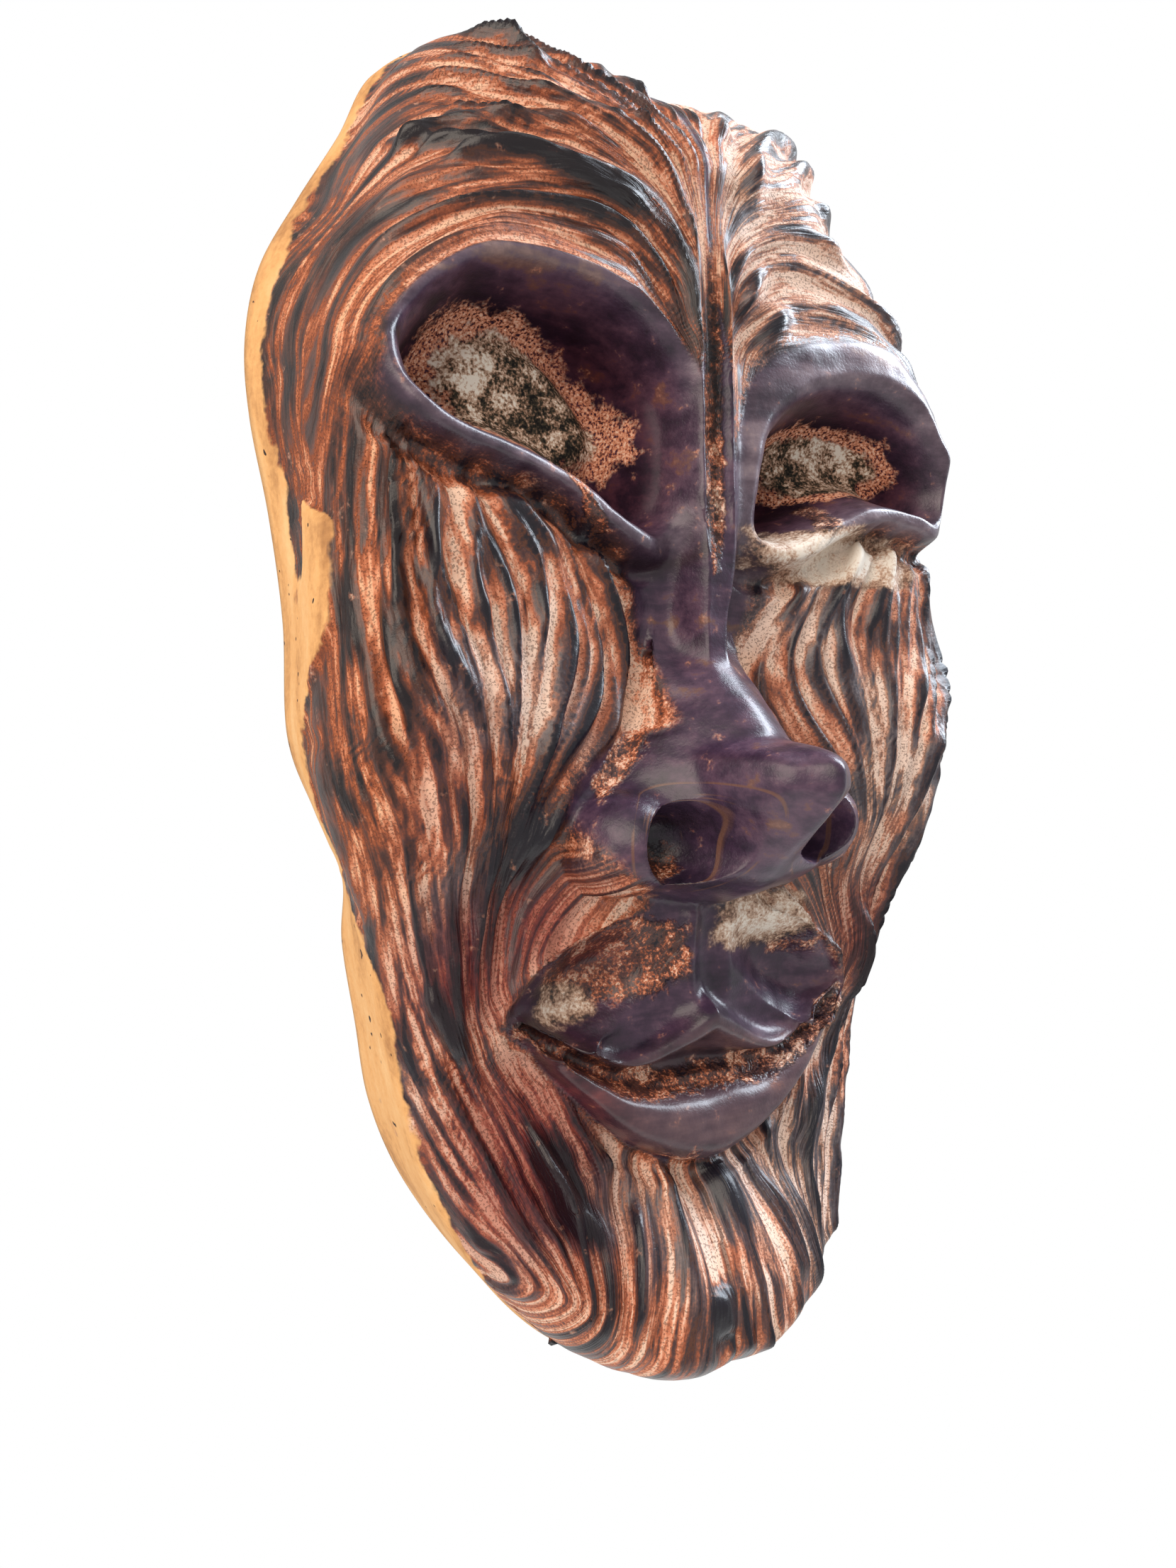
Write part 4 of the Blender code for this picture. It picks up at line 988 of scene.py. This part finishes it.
def glaze(g, place):
    """Glaze that breaks copper and matte on the strands' crests and pools dark and glossy between them."""
    cover, crest, tone, copper = (g.value(name) for name in ("cover", "crest", "tone", "copper"))
    lines = streaks(g, 1.5, 2.0, 3.0)
    threads = streaks(g, 0.55, 3.0, 9.0)
    speckle = g.noise(place, SPECKLES, 2.0, 0.6)
    cloud = g.noise(place, CLOUDS, 3.0, 0.5)
    mottled = g.noise(place, MOTTLES, 3.0, 0.6)

    # The strands are darkened in the groove under the lower lid: painted shade
    heat = g.add(
        g.times(g.math("SUBTRACT", crest, 0.8), 2.6), g.times(tone, 0.4), about_half(g, lines, 1.4),
        about_half(g, threads, 0.7), about_half(g, speckle, 0.3), g.times(copper, 0.4),
        g.times(g.value("groove"), -0.5), g.times(g.value("brow"), 0.06), 0.56,
    )
    loose = g.add(about_half(g, mottled, 2.2), about_half(g, speckle, 1.5), about_half(g, cloud, 0.8), 0.58)
    off_strands = g.math("SUBTRACT", 1.0, cover)
    heat = g.add(g.times(heat, cover), g.times(loose, off_strands))
    # Cool colours in random patches, and more of them on the far half where the warm value is below zero:
    # painted cool window light
    cool = g.math("SUBTRACT", g.times(g.step(cloud, 0.48, 0.64), 0.8), g.value("warm"), clamp=True)
    strands = g.mix(cool, g.ramp(heat, STRAND_COLOURS), g.ramp(heat, COOL_STRAND_COLOURS))
    warm = g.ramp(g.math("SUBTRACT", heat, 0.14), WARM_STRAND_COLOURS)
    strands = g.mix(g.times(g.value("warm"), 0.85), strands, warm)
    veils = about_half(g, g.noise(stretched(g, place, (0.3, 1, 1.6)), VEILS, 4.0, 0.6), 1.6)
    smooth_heat = g.add(about_half(g, mottled, 0.8), about_half(g, cloud, 1.0), veils, 0.47)
    away = g.value("nostril_away")
    ring_noise = g.noise(g.vector(g.times(away, 0.75), g.times(cloud, 2.5), 4.0), 1.0, 2.0, 0.5)
    rings = g.times(g.step(ring_noise, 0.55, 0.62), g.step(away, 21.0, 15.0))
    smooth = g.mix(g.times(rings, 0.8), g.ramp(smooth_heat, SMOOTH_COLOURS), RING_COLOUR)
    smooth = g.mix(g.value("lips"), smooth, g.ramp(smooth_heat, LIP_COLOURS))
    # The rim's lilac-grey glaze, and round the far socket a painted highlight
    smooth = g.mix(g.times(g.value("rim"), 0.85), smooth, g.ramp(smooth_heat, RIM_AND_HIGHLIGHT_COLOURS))
    # Painted shade: the groove under the lower lid in a near-black colour
    smooth = g.mix(g.times(g.value("groove"), 0.7), smooth, GROOVE_SHADE_COLOUR)
    in_copper = g.step(g.add(copper, about_half(g, mottled, 0.9)), 0.3, 0.6)
    in_strands = g.math("MAXIMUM", g.step(cover, 0.05, 0.45), in_copper)
    colour = g.mix(in_strands, smooth, strands)
    in_socket = g.value("socket")
    # Darker inside the sockets: painted shade in the recess
    wine_heat = g.add(
        g.times(heat, cover), g.times(smooth_heat, off_strands), g.times(in_socket, -0.3), -0.05,
    )
    wine = g.ramp(wine_heat, WINE_COLOURS)
    colour = g.mix(g.times(g.value("wine"), 0.85), colour, wine)

    pits = g.step(g.noise(place, PITS, 1.0, 0.5), 0.55, 0.63)
    salmon = g.times(g.step(heat, 0.64, 0.78), in_strands)
    colour = g.mix(g.times(g.times(pits, salmon), 0.5), colour, PIT_COLOUR)

    cream = g.times(g.value("cream"), 0.5)
    grit = g.add(about_half(g, speckle, 1.8), about_half(g, mottled, 2.2), cream, 0.38)
    ragged = g.add(g.value("floor"), about_half(g, mottled, 0.8))
    on_floor = g.step(ragged, 0.58, 0.8)
    ring = g.math("SUBTRACT", g.step(ragged, 0.1, 0.3), on_floor, clamp=True)
    colour = g.mix(on_floor, colour, g.ramp(grit, FLOOR_COLOURS))
    in_ring = g.times(ring, g.step(speckle, 0.36, 0.5))
    colour = g.mix(in_ring, colour, g.ramp(g.add(speckle, 0.33), STRAND_COLOURS))
    # Pale places: the pale glaze over the near upper lip, and painted window light under the far nostril and
    # along the far lid
    pale = g.value("pale")
    in_pale_and_lit = g.times(g.step(g.add(pale, about_half(g, mottled, 1.2)), 0.4, 0.8), 0.85)
    hollow = g.ramp(g.add(g.times(grit, 0.6), g.times(pale, 0.42)), FLOOR_COLOURS)
    colour = g.mix(in_pale_and_lit, colour, hollow)

    matte = g.math("MAXIMUM", g.math("MAXIMUM", on_floor, in_pale_and_lit), salmon)
    rough = g.add(0.27, g.times(matte, 0.36), g.times(mottled, 0.14), g.times(in_socket, 0.25))
    glossy = g.math("SUBTRACT", 1.0, g.math("MAXIMUM", matte, in_socket))
    height = g.add(
        g.times(g.times(lines, in_strands), 1.1), g.times(g.times(threads, in_strands), 0.35),
        g.times(speckle, 0.1), g.times(mottled, 0.14), g.times(g.times(pits, salmon), -0.16),
    )
    bumps = g.node("ShaderNodeBump", {"Height": height, "Strength": 0.8, "Distance": 0.0011})
    return g.node("ShaderNodeBsdfPrincipled", {
        "Base Color": colour,
        "Roughness": rough,
        "Normal": bumps.outputs[0],
        "Coat Weight": g.times(glossy, 0.3),
        "Coat Roughness": 0.24,
        # Weaker specular inside the sockets: painted shade in the recess
        "Specular IOR Level": g.add(0.32, g.times(in_socket, -0.26)),
    }).outputs[0]


def bare_clay(g, place):
    """Tan clay with brown stains that run down it and a few dark specks."""
    stains = g.noise(stretched(g, place, (1, 1, 0.35)), STAINS, 4.0, 0.6)
    grain = g.noise(place, GRAINS, 3.0, 0.6)
    specks = g.noise(place, SPECKS, 1.0, 0.5)
    colour = g.ramp(g.add(about_half(g, stains, 1.5), about_half(g, grain, 0.4), 0.62), CLAY_COLOURS)
    colour = g.mix(g.step(specks, 0.74, 0.77), colour, SPECK_COLOUR)
    bumps = g.node("ShaderNodeBump", {"Height": grain, "Strength": 0.35, "Distance": 0.0006})
    surface = {"Base Color": colour, "Roughness": 0.82, "Normal": bumps.outputs[0]}
    return g.node("ShaderNodeBsdfPrincipled", surface).outputs[0]


def glazed_clay():
    g = Graph("glazed_clay")
    place = g.node("ShaderNodeTexCoord", {}).outputs["Object"]
    run = g.noise(place, RUNS, 4.0, 0.6)
    ragged = g.noise(place, MOTTLES, 3.0, 0.6)
    edge = g.add(g.value("glaze_height"), about_half(g, run, 9.0), about_half(g, ragged, 3.0))
    surfaces = {0: g.step(edge, -0.6, 0.6), 1: bare_clay(g, place), 2: glaze(g, place)}
    both = g.node("ShaderNodeMixShader", surfaces)
    g.node("ShaderNodeOutputMaterial", {"Surface": both.outputs[0]})
    return g.material


def plain_material(name, colour):
    g = Graph(name)
    surface = g.node("ShaderNodeBsdfPrincipled", {"Base Color": (*colour, 1), "Roughness": 0.9})
    g.node("ShaderNodeOutputMaterial", {"Surface": surface.outputs[0]})
    return g.material


def floor_disc():
    mesh = bpy.data.meshes.new("pale_floor")
    angles = np.arange(96) * 2 * math.pi / 96
    across, back = FLOOR_RADIUS * np.cos(angles), FLOOR_RADIUS * np.sin(angles) + FLOOR_MIDDLE_Y
    ring = [(x, y, FLOOR_Z) for x, y in zip(across, back)]
    mesh.from_pydata(ring, [], [list(range(len(ring)))])
    mesh.materials.append(plain_material("pale_floor", STUDIO_FLOOR_COLOUR))
    floor = bpy.data.objects.new("pale_floor", mesh)
    bpy.context.collection.objects.link(floor)
    return floor


def aim(thing, target):
    thing.rotation_euler = (Vector(target) - thing.location).to_track_quat("-Z", "Y").to_euler()


def softbox(name, place, size, energy, colour):
    light = bpy.data.lights.new(name, "AREA")
    light.shape = "RECTANGLE"
    light.size, light.size_y = size
    light.energy = energy
    light.color = colour
    lamp = bpy.data.objects.new(name, light)
    lamp.location = place
    bpy.context.collection.objects.link(lamp)
    aim(lamp, MASK_MIDDLE)


def studio():
    """White surroundings, one large cool softbox at the upper right and a warm one on the near side."""
    world = bpy.data.worlds.new("studio")
    bpy.context.scene.world = world
    world.use_nodes = True
    nodes, links = world.node_tree.nodes, world.node_tree.links
    nodes.clear()
    seen, lit = nodes.new("ShaderNodeBackground"), nodes.new("ShaderNodeBackground")
    seen.inputs["Color"].default_value = (1, 1, 1, 1)
    lit.inputs["Color"].default_value = (1, 0.99, 0.97, 1)
    lit.inputs["Strength"].default_value = AMBIENT
    path, mixed = nodes.new("ShaderNodeLightPath"), nodes.new("ShaderNodeMixShader")
    out = nodes.new("ShaderNodeOutputWorld")
    links.new(path.outputs["Is Camera Ray"], mixed.inputs[0])
    links.new(lit.outputs[0], mixed.inputs[1])
    links.new(seen.outputs[0], mixed.inputs[2])
    links.new(mixed.outputs[0], out.inputs[0])
    for light in SOFTBOXES:
        softbox(*light)


def camera():
    data = bpy.data.cameras.new("view")
    data.sensor_fit = "VERTICAL"
    data.sensor_height = CAMERA_SENSOR
    data.lens = CAMERA_LENS
    holder = bpy.data.objects.new("view", data)
    holder.location = CAMERA_PLACE
    holder.rotation_euler = (math.pi / 2, 0, -math.radians(CAMERA_TURN))
    bpy.context.collection.objects.link(holder)
    bpy.context.scene.camera = holder


piece = mask_piece(glazed_clay())
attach(piece, "root")
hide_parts("mask_shell")
floor_disc()
studio()
camera()
bpy.context.scene.view_settings.view_transform = "Standard"
